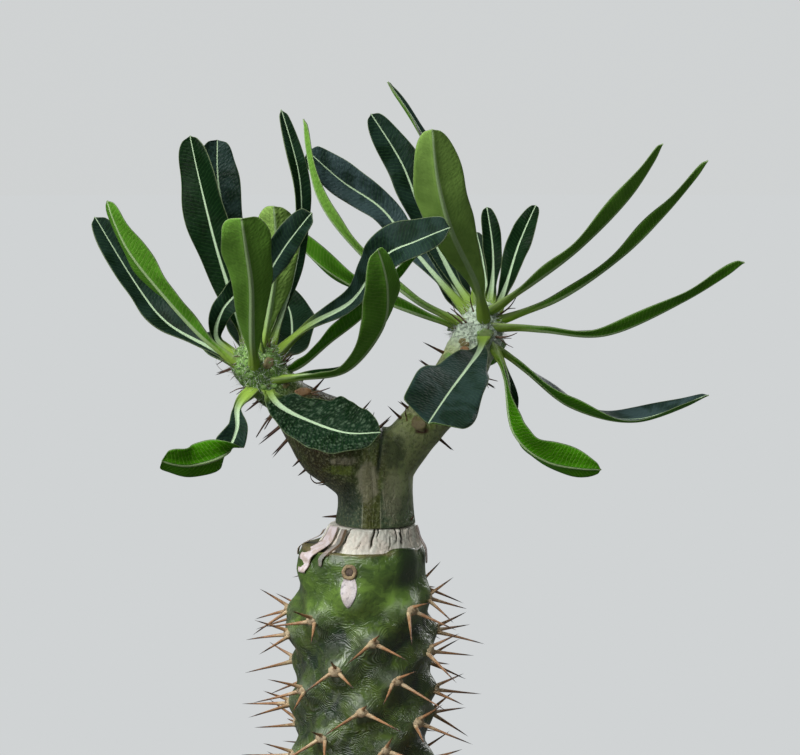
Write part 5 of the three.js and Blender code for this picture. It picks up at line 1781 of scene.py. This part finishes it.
class PACHYPODIUM_OT_wool(bpy.types.Operator):
    """Make the white fibres, the young thorns and the knobs between the leaf stalks"""
    bl_idname = "pachypodium.wool"
    bl_label = "Wool and bristles"

    def execute(self, context):
        look = settings().scion
        bark = bpy.data.objects["scion_bark"]
        hair, thorn, curved = spike_pattern(3, 2), spike_pattern(6, 4), spike_pattern(6, 9)
        fibres, bristles = bmesh.new(), bmesh.new()
        random = seeded_random(71)
        for head, share in ((LEFT_HEAD, 1.0), (RIGHT_HEAD, 1.7)):
            middle = Vector(head)
            near = [polygon for polygon in bark.data.polygons
                    if (polygon.center / MM - middle).length < HEAD_REACH]
            hairs = round(look.fibres * share)
            for number in range(hairs + YOUNG_THORNS):
                polygon = near[int(next(random) * len(near))]
                root = polygon.center / MM
                stray = Vector([next(random) - 0.5 for _ in range(3)])
                if number < hairs:
                    direction = (polygon.normal + 1.9 * stray).normalized()
                    reach = look.fibre / MM * (0.4 + 0.9 * next(random))
                    bend = Vector([1.8 * (next(random) - 0.5) for _ in range(3)])
                    add_spike(fibres, hair, root, direction, reach, HAIR_RADIUS, bend)
                else:
                    direction = (polygon.normal + 0.8 * stray).normalized()
                    reach = 2.2 + 2.0 * next(random)
                    add_spike(bristles, thorn, root, direction, reach, YOUNG_THORN_RADIUS, stray)
        skin = bmesh.new()
        skin.from_mesh(bark.data)
        tree = BVHTree.FromBMesh(skin)
        for points, radius in BRISTLES:
            foot = Vector(points[0])
            ground, normal, _, _ = tree.find_nearest(foot * MM)
            shift = ground / MM - 0.4 * normal - foot
            add_curved_spike(bristles, curved, [Vector(point) + shift for point in points], radius)
        make_piece("head_wool", fibres, fibre_material("head_wool", look.wool, 0.9))
        horn = thorn_material("head_bristle", tint(104, 82, 54), look.bristle, tint(30, 22, 18))
        make_piece("head_bristles", bristles, horn)
        knobs, buds = bmesh.new(), bmesh.new()
        for middle, wide, high, dry in KNOBS:
            ground, normal, _, _ = tree.find_nearest(Vector(middle) * MM)
            side = Vector((0, 0, 1)).cross(normal).normalized()
            size = (wide, high, 0.7)
            add_knob(buds if dry else knobs, ground / MM, side, normal.cross(side), normal, size)
        skin.free()
        tan = scar_material("head_knob", look.head, tint(132, 150, 96), 0.7)
        make_piece("head_knobs", knobs, tan)
        dry = scar_material("dry_bud", tint(146, 108, 68), tint(70, 46, 30), 0.8)
        make_piece("head_dry_buds", buds, dry)
        return {"FINISHED"}


# Stage


class PACHYPODIUM_OT_stage(bpy.types.Operator):
    """Make the floor, the backdrop, the lights and the camera"""
    bl_idname = "pachypodium.stage"
    bl_label = "Stage"

    def execute(self, context):
        look = settings().stage
        bm = bmesh.new()
        bmesh.ops.create_circle(bm, cap_ends=True, segments=96, radius=12)
        floor = add_object("studio_floor", to_mesh("studio_floor", bm))
        floor.data.materials.append(self.floor_material(look))
        floor.visible_diffuse = False
        floor.visible_glossy = False
        self.make_backdrop(look)
        world = bpy.data.worlds.new("studio")
        world.use_nodes = True
        world.node_tree.nodes["Background"].inputs[0].default_value = look.room
        context.scene.world = world
        self.add_light("overhead_box", look.overhead, (-0.35, -0.45, 1.2))
        self.add_light("side_box", look.side, (-1.0, -0.9, 0.75))
        self.add_light("back_box", look.back, (0.7, 1.3, 0.7))
        data = bpy.data.cameras.new("camera")
        data.lens = look.lens
        data.sensor_width = 36
        data.clip_start = 0.05
        data.clip_end = 60
        camera = add_object("camera", data)
        back = Vector((0, -math.cos(look.pitch), math.sin(look.pitch)))
        camera.location = Vector(CAMERA_TARGET) * MM + back * look.distance
        camera.rotation_euler = (math.pi / 2 - look.pitch, 0, 0)
        context.scene.camera = camera
        context.scene.view_settings.view_transform = "Standard"
        return {"FINISHED"}

    def make_backdrop(self, look):
        """A wide round backdrop that is only seen, and gives no light."""
        bm = bmesh.new()
        bmesh.ops.create_icosphere(bm, subdivisions=4, radius=14)
        bmesh.ops.reverse_faces(bm, faces=bm.faces[:])
        backdrop = add_object("studio_backdrop", to_mesh("studio_backdrop", bm))
        backdrop.data.materials.append(self.glowing_paper(look))
        backdrop.visible_diffuse = False
        backdrop.visible_glossy = False
        backdrop.visible_transmission = False
        backdrop.visible_shadow = False

    def glowing_paper(self, look):
        """Evenly lit backdrop paper."""
        material, tree, _, place = new_material("studio_backdrop")
        patches = blotches(tree, place, 0.12, 0.3, 0.7)
        tone = blend(tree, times(tree, patches, 0.3), look.backdrop, look.floor)
        glow = put(tree, "Emission", {"Color": tone, "Strength": 1.0})
        self.show_instead(tree, glow.outputs[0])
        return material

    def floor_material(self, look):
        """A pale floor that turns into the backdrop's own light away from the pot."""
        material, tree, shader, place = new_material("studio_floor")
        grain = fine_grain(tree, place, 300.0)
        finish_shader(tree, shader, look.floor, 0.85, grain, 0.0001)
        glow = put(tree, "Emission", {"Color": look.backdrop, "Strength": 1.0})
        distance = put(tree, "VectorMath", {0: place}, operation="LENGTH").outputs[1]
        far = ramp(tree, distance, 0.16, 0.45)
        mixed = put(tree, "MixShader", {0: far, 1: shader.outputs[0], 2: glow.outputs[0]})
        self.show_instead(tree, mixed.outputs[0])
        return material

    def show_instead(self, tree, surface):
        """Links another shader to a material's output."""
        output = next(node for node in tree.nodes if node.type == "OUTPUT_MATERIAL")
        tree.links.new(surface, output.inputs[0])

    def add_light(self, name, power, place):
        """A soft round lamp that faces the plant."""
        data = bpy.data.lights.new(name, "AREA")
        data.shape = "DISK"
        data.size = LIGHT_SIZE
        data.energy = power
        light = add_object(name, data)
        light.location = place
        way = Vector(LIGHT_TARGET) - Vector(place)
        light.rotation_euler = way.to_track_quat("-Z", "Y").to_euler()


class PACHYPODIUM_PT_panel(bpy.types.Panel):
    """The plant's makers, in the order they run"""
    bl_idname = "PACHYPODIUM_PT_panel"
    bl_label = "Pachypodium"
    bl_space_type = "VIEW_3D"
    bl_region_type = "UI"
    bl_category = "Pachypodium"

    def draw(self, context):
        layout = self.layout
        for maker in MAKERS:
            layout.operator(maker.bl_idname)
        look = settings()
        for group in (look.leaves, look.stock, look.scion, look.pot, look.stage):
            box = layout.box()
            box.label(text=group.bl_rna.description)
            for name in group.bl_rna.properties.keys():
                if name not in ("rna_type", "name"):
                    box.prop(group, name)


MAKERS = (
    PACHYPODIUM_OT_pot,
    PACHYPODIUM_OT_soil,
    PACHYPODIUM_OT_rootstock,
    PACHYPODIUM_OT_rootstock_thorns,
    PACHYPODIUM_OT_leaf_scar,
    PACHYPODIUM_OT_callus,
    PACHYPODIUM_OT_scion,
    PACHYPODIUM_OT_scion_thorns,
    PACHYPODIUM_OT_leaves,
    PACHYPODIUM_OT_wool,
    PACHYPODIUM_OT_stage,
)
CLASSES = (
    LeafSettings,
    StockSettings,
    ScionSettings,
    PotSettings,
    StageSettings,
    PachypodiumSettings,
    *MAKERS,
    PACHYPODIUM_PT_panel,
)


def register():
    for cls in CLASSES:
        bpy.utils.register_class(cls)
    bpy.types.Scene.pachypodium = PointerProperty(type=PachypodiumSettings)


def unregister():
    del bpy.types.Scene.pachypodium
    for cls in reversed(CLASSES):
        bpy.utils.unregister_class(cls)


def main():
    register()
    bpy.ops.pachypodium.pot()
    bpy.ops.pachypodium.soil()
    bpy.ops.pachypodium.rootstock()
    bpy.ops.pachypodium.rootstock_thorns()
    bpy.ops.pachypodium.leaf_scar()
    bpy.ops.pachypodium.callus()
    bpy.ops.pachypodium.scion()
    bpy.ops.pachypodium.scion_thorns()
    bpy.ops.pachypodium.leaves()
    bpy.ops.pachypodium.wool()
    bpy.ops.pachypodium.stage()


if __name__ == "__main__":
    main()
